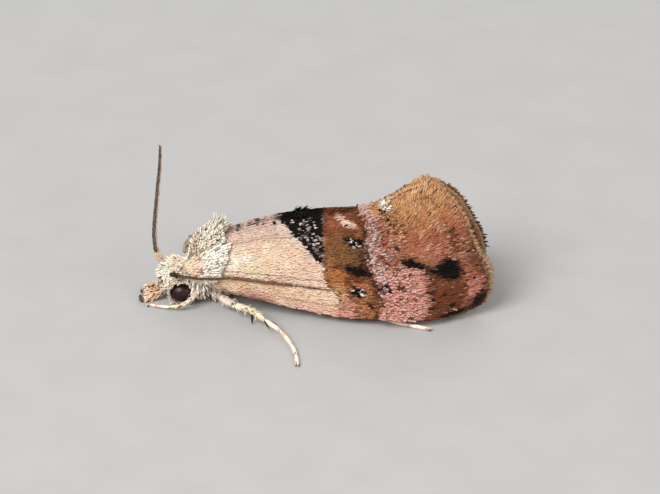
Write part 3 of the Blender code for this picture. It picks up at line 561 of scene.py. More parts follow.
def make_piece(name, arrays, look, nodes=None):
    """One mesh object from arrays, riding on the model in place of the nodes or its own node."""
    mesh = bpy.data.meshes.new(name)
    points, faces = arrays["points"] * MM, arrays["faces"]
    points[:, 2] = np.maximum(points[:, 2], 0.0)
    mesh.vertices.add(len(points))
    mesh.vertices.foreach_set("co", points.astype(np.float32).ravel())
    mesh.loops.add(faces.size)
    mesh.loops.foreach_set("vertex_index", faces.astype(np.int32).ravel())
    mesh.polygons.add(len(faces))
    mesh.polygons.foreach_set("loop_start", np.arange(0, faces.size, 3, dtype=np.int32))
    mesh.update(calc_edges=True)
    for key in ("place", "tone", "reach", "across"):
        kind, field = ("FLOAT_VECTOR", "vector") if key == "place" else ("FLOAT", "value")
        values = mesh.attributes.new(key, kind, "POINT").data
        values.foreach_set(field, arrays[key].astype(np.float32).ravel())
    if arrays["unwrap"] is not None:
        corners = arrays["unwrap"][faces.ravel()]
        mesh.uv_layers.new(name="OFBake").data.foreach_set("uv", corners.astype(np.float32).ravel())
    if name.endswith(SMOOTH):
        mesh.shade_smooth()
    mesh.materials.append(finish(look, bpy.context.scene.moth))
    piece = added(name, mesh)
    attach(piece, "root")
    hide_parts(*(nodes or [name.rpartition("_")[0]]))


class Shade:
    """One socket of a material's nodes; arithmetic on it adds Math nodes."""

    def __init__(self, tree, socket=None):
        self.tree = tree
        self.socket = socket

    def node(self, kind, settings=None, sockets=None, output=0):
        """A new node's output: its settings are set first, then its sockets' values or links."""
        made = self.tree.nodes.new("ShaderNode" + kind)
        for key, value in (settings or {}).items():
            if key == "stops":
                set_stops(made.color_ramp.elements, value)
            else:
                setattr(made, key, value)
        for key, value in (sockets or {}).items():
            if isinstance(value, Shade):
                self.tree.links.new(value.socket, made.inputs[key])
            else:
                made.inputs[key].default_value = value
        return Shade(self.tree, made.outputs[output])

    def math(self, operation, *values):
        """A Math node on values or sockets."""
        return self.node("Math", {"operation": operation}, dict(enumerate(values)))

    def vector(self, operation, sockets, output=0):
        """A Vector Math node on this vector and other sockets."""
        return self.node("VectorMath", {"operation": operation}, {0: self, **sockets}, output)

    def __add__(self, other):
        return self.math("ADD", self, other)

    def __sub__(self, other):
        return self.math("SUBTRACT", self, other)

    def __rsub__(self, other):
        return self.math("SUBTRACT", other, self)

    def __mul__(self, other):
        return self.math("MULTIPLY", self, other)

    def __truediv__(self, other):
        return self.math("DIVIDE", self, other)

    __radd__ = __add__
    __rmul__ = __mul__

    def mesh(self, *names):
        """Attributes of the mesh: place is a vector and the others are numbers."""
        outputs = ["Vector" if name == "place" else "Fac" for name in names]
        return [self.node("Attribute", {"attribute_name": n}, None, o) for n, o in zip(names, outputs)]

    def parts(self):
        """The three numbers of this vector."""
        split = self.node("SeparateXYZ", None, {0: self}).socket.node
        return [Shade(self.tree, output) for output in split.outputs]

    def part_of_one(self):
        """What this value has beyond its whole number."""
        return self.math("FRACT", self)

    def most(self, *others):
        """The largest of several values."""
        largest = self
        for other in others:
            largest = largest.math("MAXIMUM", largest, other)
        return largest

    def ramp(self, low, high):
        """0 below low, 1 above high and a smooth climb between; high may be the lower one."""
        if high < low:
            return 1 - self.ramp(high, low)
        return self.node("MapRange", {"interpolation_type": "SMOOTHSTEP"}, {0: self, 1: low, 2: high})

    def within(self, start, full, fade, end):
        """0 outside start and end, 1 from full to fade and smooth between."""
        return self.ramp(start, full) * self.ramp(end, fade)

    def mixed(self, first, second):
        """A colour between two, by this value."""
        colours = [v if isinstance(v, Shade) else (*v[:3], 1.0) for v in (first, second)]
        return self.node("Mix", {"data_type": "RGBA"}, {0: self, 6: colours[0], 7: colours[1]}, 2)

    def scaled(self, amount):
        """A colour or vector multiplied by a number that may vary."""
        return self.vector("SCALE", {3: amount})

    def moved(self, offset):
        """A vector moved by another one."""
        return self.vector("ADD", {1: offset})

    def noise(self, scale, detail=2.0, stretch=(1.0, 1.0, 1.0), turn=0.0, output=0):
        """Noise over this vector, about 0.5 in the middle, drawn out by the stretch."""
        sockets = {"Vector": self, "Scale": stretch, "Rotation": (0.0, 0.0, turn)}
        drawn = self.node("Mapping", {"vector_type": "POINT"}, sockets)
        sockets = {"Vector": drawn, "Scale": scale, "Detail": detail}
        return self.node("TexNoise", {"noise_dimensions": "3D"}, sockets, output)

    def spot(self, centre, sizes, turn=0.0, soft=0.35):
        """1 inside an ellipse of this vector's plane, fading over its edge."""
        sockets = {"Location": (*centre, 0.0), "Rotation": (0.0, 0.0, turn), "Scale": (*sizes, 1e6)}
        local = self.node("Mapping", {"vector_type": "TEXTURE"}, {"Vector": self, **sockets})
        return local.vector("LENGTH", {}, 1).ramp(1 + soft, 1 - soft)

    def bumped(self, distance, strength):
        """A Normal from this height, with the distance in metres."""
        sockets = {"Strength": strength, "Distance": distance, "Height": self}
        return self.node("Bump", None, sockets)


def set_stops(elements, stops):
    """Give a colour ramp its stops, each a position and a grey."""
    elements.remove(elements[1])
    for number, (position, grey) in enumerate(stops):
        stop = elements.new(position) if number else elements[0]
        stop.position = position
        stop.color = (grey, grey, grey, 1.0)


def layered(tints, ground, *layers):
    """A ground colour with others laid over it, each a colour, its mask and perhaps its strength."""

    def tinted(colour):
        return getattr(tints, colour) if isinstance(colour, str) else colour

    result = tinted(ground)
    for colour, mask, *strength in layers:
        if strength:
            mask = mask * strength[0]
        result = mask.mixed(result, tinted(colour))
    return result


def scale_ridges(start):
    """A Normal with the fine ridges that run along each scale."""
    (across,) = start.mesh("across")
    return across.math("SINE", across * 40.0).bumped(0.0000012, 0.6)


def eye_grain(start):
    """A Normal with fine grain over the eye."""
    (place,) = start.mesh("place")
    return place.noise(90.0, 1.0).bumped(0.000002, 0.4)


def wing_colours(tints, start):
    """The forewing's markings by wing fractions, the same for skin, scales, tufts and fringe."""
    place, tone = start.mesh("place", "tone")
    here = place.moved(place.noise(14.0, 3.0, output=1).moved((-0.5, -0.5, -0.5)).scaled(0.080))
    s, t = here.parts()[:2]
    s = s / WING_ASPECT
    mottle = place.noise(9.0, 4.0)
    blotches = place.noise(4.5, 3.0)
    fine = place.noise(36.0, 3.0)
    grains = place.noise(70.0, 1.0)
    streaks = place.noise(12.0, 2.0, (3.0, 0.7, 1.0), 0.5)

    def at(s_centre, t_centre, s_half, t_half, turn=0.0, soft=0.35):
        centre = (s_centre * WING_ASPECT, t_centre)
        return here.spot(centre, (s_half * WING_ASPECT, t_half), turn, soft)

    # Cream inner half, pinkish in its middle, warmer below the fold; greyer along the back as painted
    # shade, a fold line that is partly painted shade, painted shade along the lower edge near the base
    # and painted light on the lower edge further out
    colour = layered(
        tints,
        "cream",
        ("peach", mottle.ramp(0.35, 0.65)),
        ("blush", blotches.ramp(0.50, 0.64), 0.7),
        ("ivory", blotches.ramp(0.46, 0.38), 0.22),
        ("honey", fine.ramp(0.56, 0.64), 0.35),
        # Painted shade: shell and mauve grey the strip along the back
        ("shell", t.ramp(0.40, 0.08), 0.85),
        ("mauve", t.ramp(0.45, 0.15), 0.20),
        ("honey", t.ramp(0.74, 0.84) * mottle.ramp(0.3, 0.6), 0.5),
        ("blush", at(0.42, 0.60, 0.10, 0.26, 0.3, 0.8), 0.6),
        ("mauve", at(0.19, 0.98, 0.07, 0.09), 0.75),
        ("ivory", at(0.10, 0.55, 0.07, 0.14, 0, 0.8) * mottle.ramp(0.4, 0.6)),
        ("butter", at(0.155, 0.62, 0.05, 0.07, 0.2, 0.8) * mottle.ramp(0.4, 0.6)),
        # A dark line along the fold: partly the fold's own brown line, partly painted shade in its crease
        ("umber", t.within(0.752, 0.768, 0.776, 0.792) * s.within(0.05, 0.12, 0.44, 0.56), 0.8),
        # Painted shade: darker along the lower edge near the base, where the edge turns under
        ("umber", t.ramp(0.945, 0.980) * s.ramp(0.30, 0.24) * mottle.ramp(0.3, 0.5), 0.6),
        ("coral", t.ramp(0.89, 0.97) * s.within(0.30, 0.40, 0.50, 0.60) * fine.ramp(0.35, 0.5), 0.75),
        # Painted light: blush lightens the lower edge, which turns under away from the light
        ("blush", t.ramp(0.86, 0.95) * s.ramp(0.20, 0.32), 0.5),
        ("slate", grains.ramp(0.66, 0.70) * mottle.ramp(0.42, 0.52), 0.40),
    )

    # Rust band across the middle, olive in its heart
    edge = s - 0.498 + t * 0.045 - t.ramp(0.64, 0.82) * 0.048
    specked = at(0.602, 0.30, 0.038, 0.050, 0.4).most(at(0.582, 0.76, 0.028, 0.050, 0.4))
    band = layered(
        tints,
        "copper",
        ("rust", mottle.ramp(0.30, 0.58)),
        ("rust", t.ramp(0.30, 0.10), 0.8),
        ("olive", at(0.56, 0.38, 0.070, 0.15, 0, 0.6)),
        ("copper", at(0.54, 0.14, 0.030, 0.060, 0.3, 0.6), 0.4),
        ("blush", at(0.590, 0.105, 0.040, 0.050, 0.4) * fine.ramp(0.12, 0.34)),
        ("amber", at(0.515, 0.66, 0.030, 0.09), 0.85),
        (fine.ramp(0.38, 0.54).mixed(tints.olive, tints.copper), at(0.600, 0.90, 0.045, 0.14, 0.1)),
        ("honey", at(0.515, 0.80, 0.028, 0.10) * fine.ramp(0.35, 0.5), 0.7),
        ("coral", at(0.532, 0.94, 0.045, 0.09, 0, 0.6) * fine.ramp(0.36, 0.52), 0.85),
        ("black", at(0.602, 0.57, 0.056, 0.050, 0.1)),
        ("black", specked),
        ("frost", specked * tone.ramp(0.70, 0.74)),
    )

    # Black patch on the back, with a pale rim and pale streaks
    left_side = s - 0.268 - t * 0.39
    right_side = 0.500 - s - t * 0.05
    patch = (left_side.ramp(-0.008, 0.006) * right_side.ramp(-0.004, 0.004)).most(
        t.ramp(0.014, 0.004) * s.ramp(0.22, 0.18) * mottle.ramp(0.46, 0.56) * 0.85,
        t.ramp(0.024, 0.008) * s.within(0.22, 0.28, 0.49, 0.51),
        at(0.160, 0.02, 0.008, 0.020),
        at(0.195, 0.03, 0.006, 0.02),
        at(0.248, 0.05, 0.006, 0.03),
    )
    pale = streaks.ramp(0.530, 0.590) * fine.ramp(0.40, 0.52)
    pale = pale * left_side.ramp(0.010, 0.050) * t.ramp(0.02, 0.05)
    verge = (edge - 0.003).within(-0.008, 0.0, 0.002, 0.010)
    colour = layered(
        tints,
        colour,
        (band, edge.ramp(-0.006, 0.006)),
        ("umber", verge * mottle.ramp(0.45, 0.55), 0.7),
        ("shell", left_side.ramp(-0.055, -0.010) * right_side.ramp(-0.001, 0.004), 0.7),
        ("umber", t.ramp(0.018, 0.006) * s.within(0.48, 0.50, 0.66, 0.73), 0.9),
        ("black", patch),
        ("frost", pale * patch * right_side.ramp(-0.002, 0.012), 0.85),
    )

    # Raised mauve ridge with a painted highlight on its crest and a painted shadow before the step, pink
    # below, then the fan of the outer third
    beyond = s - step_value(t)
    outer = (beyond - 0.003).ramp(-0.005, 0.005)
    # Painted shadow before the step, and a painted highlight along its crest
    step_shadow = beyond.within(-0.034, -0.012, -0.004, 0.004) * t.ramp(0.10, 0.16)
    crest = outer * beyond.ramp(0.045, 0.020) * t.ramp(0.86, 0.66) * fine.ramp(0.38, 0.50)
    rear = s.ramp(0.925, 0.960) * t.ramp(0.42, 0.55)
    ridge = layered(
        tints,
        "mauve",
        ("rose", mottle.ramp(0.35, 0.65)),
        ("pink", t.ramp(0.56, 0.68), 0.9),
        ("coral", fine.ramp(0.38, 0.50) * t.ramp(0.50, 0.62)),
        ("shell", fine.ramp(0.52, 0.60) * mottle.ramp(0.56, 0.42), 0.8),
        ("wine", fine.ramp(0.40, 0.34), 0.55),
    )
    fan = layered(
        tints,
        "tan",
        ("copper", t.ramp(0.05, 0.28)),
        ("rose", t.ramp(0.22, 0.38), 0.95),
        ("coral", at(0.86, 0.47, 0.08, 0.06), 0.12),
        ("coral", s.ramp(0.80, 0.73) * t.ramp(0.10, 0.25), 0.22),
        ("honey", streaks.ramp(0.52, 0.62), 0.45),
        ("rust", streaks.ramp(0.46, 0.38), 0.40),
    )
    colour = layered(
        tints,
        colour,
        # Painted shadow: dark before the step up to the raised scales
        ("umber", step_shadow * mottle.ramp(0.34, 0.50), 0.75),
        (ridge, outer),
        ("blush", at(0.705, 0.03, 0.036, 0.07, 0.3, 0.5) * fine.ramp(0.36, 0.50), 0.6),
        # Painted highlight: pale line along the step's crest
        ("frost", crest, 0.65),
        (fan, s.ramp(0.712, 0.745) * t.ramp(0.57, 0.50)),
        (
            mottle.ramp(0.28, 0.46).mixed(tints.brick, tints.rust),
            s.ramp(0.79, 0.835) * t.ramp(0.52, 0.60),
        ),
        ("rose", rear * mottle.ramp(0.35, 0.55)),
        ("coral", rear * fine.ramp(0.50, 0.60), 0.42),
        ("pink", at(0.975, 0.86, 0.03, 0.10), 0.6),
        ("shell", tone.ramp(0.040, 0.030) * outer * t.ramp(0.15, 0.30), 0.6),
        ("olive", at(0.790, 0.505, 0.070, 0.040, 0.2, 0.6), 0.7),
    )

    # Dark marks of the outer third
    flecks = ((0.757, 0.05), (0.766, 0.095), (0.748, 0.14), (0.760, 0.19), (0.775, 0.15))
    mark = at(0.795, 0.530, 0.056, 0.026, 0.28).most(
        at(0.903, 0.615, 0.050, 0.088, 0.0, 0.25),
        at(0.855, 0.60, 0.020, 0.030, 0.2, 0.5),
        *(at(*centre, 0.007, 0.016, 0.3, 0.5) for centre in flecks),
        at(0.668, 0.72, 0.014, 0.055, 0.2) * fine.ramp(0.60, 0.45),
        at(0.990, 0.93, 0.035, 0.08),
        t.ramp(0.950, 0.985) * s.ramp(0.86, 0.90),
    )
    smudge = at(0.955, 0.43, 0.020, 0.12, -0.2, 0.6) * fine.ramp(0.36, 0.50)
    dots = here.node("TexVoronoi", None, {"Vector": here, "Scale": 10.5}).ramp(0.27, 0.19)
    dotted = s.ramp(0.950, 0.965).most(
        s.ramp(0.55, 0.62) * t.ramp(0.60, 0.72) * 0.9, s.within(0.66, 0.70, 0.78, 0.82) * 0.8
    )
    colour = layered(
        tints,
        colour,
        ("black", mark),
        ("umber", smudge * tone.ramp(0.25, 0.45), 0.9),
        ("umber", s.ramp(0.970, 0.985) * t.ramp(0.30, 0.45) * fine.ramp(0.42, 0.54), 0.7),
        ("black", at(0.826, 0.78, 0.012, 0.22) * tone.ramp(0.70, 0.74), 0.85),
        ("black", dots * mottle.ramp(0.42, 0.48) * dotted),
        ("black", tone.ramp(0.950, 0.960) * s.ramp(0.50, 0.52) * mottle.ramp(0.42, 0.55), 0.8),
        ("honey", t.ramp(0.030, 0.010) * s.ramp(0.80, 0.82), 0.7),
        ("ivory", at(0.785, 0.0, 0.026, 0.045) * tone.ramp(0.22, 0.28)),
    )
    return colour.scaled(0.91 + tone * 0.18)


def step_value(t):
    """Where along the wing the step of raised scales runs, as a colour ramp over fraction t."""
    low, high = STEP_SPAN
    stops = [(at, (place - low) / (high - low)) for at, place in STEP_LINE]
    ramp = t.node("ValToRGB", {"stops": stops}, {0: t})
    return ramp.node("RGBToBW", None, {0: ramp}) * (high - low) + low


def fringe_colours(tints, start):
    """Hair scales of the fringe: the wing's own colours at their roots, pale olive at their tips, honey
    over the inner layers, partly painted light.
    """
    place, tone, reach = start.mesh("place", "tone", "reach")
    _, t, depth = place.parts()
    # The inner layers are honey without dark tips: partly their own colour, partly painted light on their
    # shaded side
    inner = depth.ramp(0.35, 0.60)
    tips = layered(
        tints,
        "tan",
        ("khaki", t.ramp(0.10, 0.40)),
        ("black", t.ramp(0.76, 0.88) * reach.ramp(0.9, 0.5)),
        ("honey", inner, 0.8),
        ("shell", tone.ramp(0.80, 0.92), 0.45),
    )
    dots = place.noise(26.0, 1.0).ramp(0.56, 0.62) * reach.within(0.25, 0.36, 0.50, 0.62)
    colour = layered(
        tints,
        wing_colours(tints, start),
        (tips, reach.ramp(0.34, 0.62).most(inner)),
        ("umber", dots * t.ramp(0.06, 0.20), 0.85),
    )
    return colour.scaled(0.82 + tone * 0.2)


def body_colours(tints, start):
    """Ivory body scales, rough with fine olive-grey and brown flecks."""
    place, tone, reach = start.mesh("place", "tone", "reach")
    x, _, z = place.parts()
    colour = layered(
        tints,
        "ivory",
        ("cream", place.noise(2.4, 2.0).ramp(0.44, 0.64), 0.5),
        ("butter", place.noise(6.0, 1.0).ramp(0.58, 0.68), 0.4),
        ("shell", z.ramp(0.62, 0.36) * x.ramp(-2.66, -2.50), 0.25),
        ("honey", x.ramp(-2.72, -2.84) * z.ramp(0.42, 0.30) * tone.ramp(0.25, 0.45), 0.8),
        ("slate", tone.ramp(0.89, 0.91) * reach.ramp(0.40, 0.70), 0.80),
        ("umber", tone.ramp(0.965, 0.975) * reach.ramp(0.2, 0.5), 0.9),
    )
    return colour.scaled(1.04 + (tone * 7.0).part_of_one() * 0.10)


def tegula_colours(tints, start):
    """Tegula scales: pale, orange-tan low in front, dark brown along the top and lower edges."""
    place, tone, reach = start.mesh("place", "tone", "reach")
    a, b, inside = place.parts()
    edge = (b.ramp(0.06, 0.02) * a.ramp(0.75, 0.45)).most(a.ramp(0.08, 0.02) * 0.6)
    low = place.spot((0.42, 0.70), (0.22, 0.24), 0.0, 0.6) * (1 - inside)
    colour = layered(
        tints,
        "cream",
        ("ivory", a.ramp(0.35, 0.60).most(inside)),
        ("tan", low * tone.ramp(0.2, 0.5), 0.6),
        ("slate", edge, 0.75),
        ("slate", tone.ramp(0.88, 0.91) * reach.ramp(0.3, 0.6), 0.75),
    )
    return colour.scaled(0.94 + (tone * 7.0).part_of_one() * 0.14)


def grey_colours(tints, start):
    """Hindwing and abdomen scales, grey-brown with paler tips."""
    place, tone, reach = start.mesh("place", "tone", "reach")
    khaki = ("khaki", place.noise(3.0).ramp(0.35, 0.65))
    return layered(tints, "slate", khaki, ("shell", reach.ramp(0.5, 1.0), 0.5)).scaled(0.75 + tone * 0.45)


def palp_colours(tints, start):
    """Palp scales: shaggy tan, brown and cream, pinkish white before the dark tip."""
    place, tone, reach = start.mesh("place", "tone", "reach")
    x = place.parts()[0]
    colour = layered(
        tints,
        "tan",
        ("honey", tone.ramp(0.05, 0.25)),
        ("shell", tone.ramp(0.38, 0.42)),
        ("cream", tone.ramp(0.66, 0.70)),
        ("umber", tone.ramp(0.83, 0.85) * reach.ramp(0.1, 0.4)),
        ("ivory", x.ramp(-3.00, -3.04) * tone.ramp(0.50, 0.60), 0.8),
        ("soot", x.ramp(-3.08, -3.12), 0.9),
    )
    return colour.scaled(0.95 + reach * 0.20)


def leg_colours(tints, start):
    """Leg scales: cream, a little grey and brown above each joint, spurs dark."""
    place, tone, reach = start.mesh("place", "tone", "reach")
    station = place.parts()[0]
    colour = layered(
        tints,
        "ivory",
        ("cream", tone.ramp(0.2, 0.8)),
        ("shell", station.ramp(2.5, 1.2), 0.5),
        ("butter", station.within(2.6, 2.9, 3.9, 4.2), 0.6),
        ("slate", station.part_of_one().ramp(0.70, 0.80) * tone.ramp(0.40, 0.70), 0.6),
        ("umber", tone.ramp(0.93, 0.96), 0.7),
        ("soot", tone.ramp(0.990, 0.997)),
        ("coral", station.within(5.05, 5.15, 5.35, 5.45) * tone.ramp(0.3, 0.4), 0.8),
    )
    return colour.scaled(0.94 + reach * 0.16)


def feeler_colours(tints, start):
    """Feelers: dark rings, a painted highlight along the upright one's rear, the folded one brown."""
    place, tone, across = start.mesh("place", "tone", "across")
    ring, station, rear = place.parts()
    wave = ring.part_of_one().ramp(0.55, 0.80)
    brown = layered(
        tints,
        "soot",
        ("umber", station.ramp(3.0, 5.0)),
        ("amber", wave, 0.2),
        ("amber", station.ramp(3.5, 6.0), 0.25),
    )
    colour = layered(
        tints,
        "soot",
        ("slate", wave),
        ("khaki", tone.ramp(0.70, 0.90), 0.3),
        # Painted highlight along the rear side of the feeler
        ("shell", rear.ramp(0.35, 0.70), 0.9),
        ("cream", station.ramp(1.9, 1.4), 0.85),
        (brown, across.ramp(1.5, 2.5)),
    )
    return colour.scaled(0.85 + tone * 0.25)


def eye_colours(tints, start):
    """Compound eye: almost black maroon under a thin film, with painted shade in the grooves where the
    facets meet.
    """
    place, rim = start.mesh("place", "reach")
    # Painted shade: black laid in the grooves between facets, which reach marks
    return layered(tints, "eye", ("eye_glow", place.noise(3.0).ramp(0.4, 0.65)), ("black", rim, 0.5))


def floor_colours(stage, start):
    """Plain matte floor with a faint unevenness."""
    place = start.node("TexCoord", None, None, "Object")
    darker = tuple(0.96 * v for v in stage.floor_colour)
    return place.noise(900.0, 3.0).ramp(0.3, 0.7).mixed(stage.floor_colour, darker)


# Scales are nearly matt
SOFT = {"Roughness": 0.7, "Specular IOR Level": 0.12}
HORNY = {"Roughness": 0.5, "Specular IOR Level": 0.35}
FILM = {"Roughness": 0.38, "Specular IOR Level": 0.25, "Coat Weight": 0.2, "Coat Roughness": 0.15}
MATT = {"Roughness": 0.85, "Specular IOR Level": 0.2}
# Finishes: what gives the colour, the shader's constants and what gives the Normal
FINISHES = {
    "forewing_scales": (wing_colours, SOFT, scale_ridges),
    "fringe_scales": (fringe_colours, SOFT, None),
    "cream_scales": (body_colours, SOFT, None),
    "tegula_scales": (tegula_colours, SOFT, None),
    "grey_scales": (grey_colours, SOFT, None),
    "palp_coat": (palp_colours, SOFT, None),
    "leg_coat": (leg_colours, SOFT, None),
    "feeler_rings": (feeler_colours, HORNY, None),
    "eye_facets": (eye_colours, FILM, eye_grain),
    "floor_matte": (floor_colours, MATT, None),
}


def finish(name, settings):
    """The finish of this name, made once."""
    made = bpy.data.materials.get(name)
    if made:
        return made
    colours, constants, relief = FINISHES[name]
    made = bpy.data.materials.new(name)
    made.use_nodes = True
    start = Shade(made.node_tree)
    shader = made.node_tree.nodes["Principled BSDF"]
    for key, value in constants.items():
        shader.inputs[key].default_value = value
    made.node_tree.links.new(colours(settings, start).socket, shader.inputs["Base Color"])
    if relief:
        made.node_tree.links.new(relief(start).socket, shader.inputs["Normal"])
    return made


def wing_rows(pitch_along, pitch_across, rng):
    """Fractions s and t of scale roots in staggered rows over the forewing, a little shaken."""
    spine = wing_surface(np.linspace(0, 1, 60), 0.5)
    length = np.linalg.norm(np.diff(spine, axis=0), axis=1).sum()
    rows = int(LAST_WING_ROW * length / pitch_along)
    found = []
    for number, s in enumerate(np.linspace(0.0, LAST_WING_ROW, rows)):
        across = wing_surface(s, np.linspace(0, 1, 40))
        width = np.linalg.norm(np.diff(across, axis=0), axis=1)
        reach = np.concatenate([[0.0], np.cumsum(width)])
        count = max(int(reach[-1] / pitch_across), 3)
        at = (np.arange(count) + 0.5 * (number % 2) + 0.25) / count
        t = np.interp(at * reach[-1], reach, np.linspace(0, 1, 40))
        found.append(np.stack([np.full(count, s), t], axis=1))
    found = np.concatenate(found)
    shake = rng.uniform(-0.5, 0.5, found.shape) * (pitch_along, pitch_across) / (length, WING_WIDTH)
    return np.clip(found + shake, 0.0, 1.0).T


def wing_place(s, t, rng, shake):
    """Marking coordinates of scales, each a little off its root so that borders are ragged."""
    off = rng.normal(0.0, 1.0, (len(s), 2)) * shake
    return triple(s * WING_ASPECT + off[:, 0], t + off[:, 1])


def wing_batch(coat, s, t, sizes, lift, swing, shake, back=0.4, rise=0.0):
    """Add scales that lie along the forewing, set back by a share of their length; lift in degrees."""
    rng, count = coat.rng, len(s)
    face, lie = wing_outward(s, t), wing_flow(s, t)
    swing = swing * rng.normal(0.0, 1.0, count)
    along = leaning(lie, face, swing, lift * (1 + 0.35 * rng.normal(0.0, 1.0, count)))
    length, width, thick = sizes
    height = (wing_relief(s, t) - WING_ROOT_DEPTH + rise)[:, None]
    root = wing_surface(s, t) + face * height - lie * (back * np.mean(length))
    length = length * (1 + 0.16 * rng.normal(0.0, 1.0, count))
    width = width * (1 + 0.12 * rng.normal(0.0, 1.0, count))
    place = wing_place(s, t, rng, shake)
    coat.add(root, along, face, (length, width, thick), -0.06, place, flat_map(s, t))


def forewing_scales(settings):
    """The forewing's flat coat, row upon row of overlapping scales, finer in the outer third."""
    coat = Coat(WING_SCALE, 21)
    length, width = settings.scale_length / MM, settings.scale_width / MM
    s, t = wing_rows(length * 0.42, width * 0.56, coat.rng)
    outer = smoothstep(0.74, 0.82, s)
    sizes = (length * (1 + 0.55 * outer), width * (1 - 0.35 * outer), 0.0016)
    wing_batch(coat, s, t, sizes, 3.2, 0.10, 0.006)
    hem, beside = coat.rng.uniform(0.955, 1.0, 1500), coat.rng.uniform(0.0, 0.99, 1500)
    sizes = (length * 1.9, width * 0.75, 0.0018)
    wing_batch(coat, hem, beside, sizes, 5.0, 0.16, 0.006, 0.25, 0.006)
    loose = coat.rng.choice(len(s), 500, replace=False)
    loose = loose[s[loose] > 0.5]
    wing_batch(coat, s[loose], t[loose], (length * 1.15, width, 0.0018), 15.0, 0.25, 0.01)
    rim_scales(coat, length, width)
    return held(coat.arrays())


def rim_scales(coat, length, width):
    """Scales that fold over the wing's back edge, so that no bare rim shows along the ridge."""
    for depth in (0.0, 0.025, 0.05, 0.075):
        s = np.linspace(0.0, 0.995, 190) + coat.rng.uniform(-0.002, 0.002, 190)
        s = np.clip(s, 0.0, 1.0)
        t = np.zeros_like(s)
        face, lie = wing_outward(s, t), wing_lie(s, t)
        up = unit(np.cross(lie, face))
        up = up * np.sign(up[:, 2:3])
        root = wing_surface(s, t) - face * depth + up * 0.004 - lie * 0.4 * length
        along = lie + up * 0.10 + coat.rng.normal(0.0, 0.06, (len(s), 3))
        place = wing_place(s, t, coat.rng, 0.006)
        place[:, 1] = np.abs(place[:, 1])
        sizes = (length * 1.1, width * 0.9, 0.0018)
        coat.add(root, along, up, sizes, -0.05, place, flat_map(s, t))


def forewing_tufts():
    """Raised scale tufts along the step and over the outer third, and the pale tufts on the back."""
    coat = Coat(WING_SCALE, 31)
    rng = coat.rng
    # Rows: place along the wing, first and last t, tufts, length, lift and scales in a tuft
    rows = (
        (-0.004, 0.10, 0.95, 40, 0.10, 34.0, 9),
        (0.010, 0.06, 0.95, 40, 0.11, 28.0, 8),
        (0.055, 0.08, 0.94, 26, 0.10, 24.0, 6),
        (0.100, 0.50, 0.94, 16, 0.10, 24.0, 6),
        (0.105, 0.03, 0.30, 10, 0.10, 28.0, 6),
        (-0.040, 0.22, 0.90, 9, 0.09, 24.0, 6),
    )
    for row, (beyond, first, last, tufts, reach, lift, count) in enumerate(rows):
        for centre in np.linspace(first, last, tufts):
            t = np.clip(centre + rng.normal(0.0, 0.013, count), 0.0, 1.0)
            s = step_line(t) + beyond + rng.normal(0.0, 0.006 + 0.004 * row, count)
            sizes = (reach * rng.uniform(0.7, 1.15, count), 0.046, 0.004)
            wing_batch(coat, s, t, sizes, lift, 0.28, 0.008, 0.1)
    # On the back: scales, s and its spread, spread of t, least and most length, width, lift, set-back
    for count, at, spread, low, short, long, width, lift, back in (
        (110, 0.385, 0.022, 0.014, 0.09, 0.14, 0.046, 34.0, 0.2),
        (90, 0.778, 0.014, 0.018, 0.08, 0.13, 0.050, 20.0, 0.3),
    ):
        s = rng.normal(at, spread, count)
        t = np.abs(rng.normal(0.0, low, count))
        sizes = (rng.uniform(short, long, count), width, 0.004)
        wing_batch(coat, s, t, sizes, lift, 0.35, 0.0, back)
    return held(coat.arrays())


def edge_point(q):
    """Fractions s and t at share q of the forewing's outer edge, tornus to apex."""
    corners = (0.0, 0.06, 0.90, 1.0)
    return np.interp(q, corners, (0.94, 1.0, 1.0, 0.92)), np.interp(q, corners, (0.0, 0.0, 1.0, 1.0))


def forewing_fringe(side):
    """Layers of hair scales round the forewing's outer edge, drawn into points here and there."""
    coat = Coat(HAIR_SCALE, 41)
    rng = coat.rng
    middle = wing_surface(0.75, 0.5)
    worn, worn_end = FRINGE_WORN[side]
    # Layers: hairs, reach, width, how far they stand back, and place from inner face to outer
    for count, reach, wide, back, depth in (
        (800, 0.15, 0.055, 0.045, 0.90),
        (900, 0.22, 0.040, 0.030, 0.75),
        (900, 0.29, 0.028, 0.010, 0.50),
        (800, 0.25, 0.030, -0.010, 0.20),
    ):
        q = np.sort(rng.random(count))
        s, t = edge_point(q)
        before, after = (wing_surface(*edge_point(np.clip(q + d, 0, 1))) for d in (-0.02, 0.02))
        edge = unit(after - before)
        point, face = wing_surface(s, t), wing_outward(s, t)
        out = unit(np.cross(face, edge))
        out = out * np.sign(np.sum(out * (point - middle), axis=1, keepdims=True))
        spread = square_to(point - wing_surface(*FAN_CENTRE), face)
        turned = (1 - smoothstep(0.15, 0.45, t))[:, None]
        out = unit(out * (1 - turned) + spread * turned)
        phase = q * 2 * math.pi * 34 + 1.5 * np.sin(q * 40)
        swing = 0.16 * np.cos(phase) * (1 - 0.6 * smoothstep(0.2, 0.5, t))
        swing = swing + rng.normal(0, 0.06, count)
        rise = rng.normal(0.02, 0.04, count)
        along = unit(out + edge * swing[:, None] + face * rise[:, None])
        root = point - face * 0.09 * (1 - depth) - out * (0.06 + back)
        short = 0.70 + 0.30 * smoothstep(0.0, 0.30, t) - 0.30 * smoothstep(0.70, 0.90, t)
        short = short * (1 - worn * within(t, 0.02, 0.12, worn_end - 0.2, worn_end))
        size = reach * short * (1 + 0.10 * np.sin(phase) + 0.06 * rng.normal(0, 1, count)) + 0.06
        along = steered(root, along, size)
        sizes = (size, wide * (1 + 0.15 * rng.normal(0, 1, count)), 0.005)
        place = triple(s * WING_ASPECT, t, 1 - depth)
        coat.add(root, along, face, sizes, -0.06, place, flat_map(s, t))
    return held(coat.arrays())


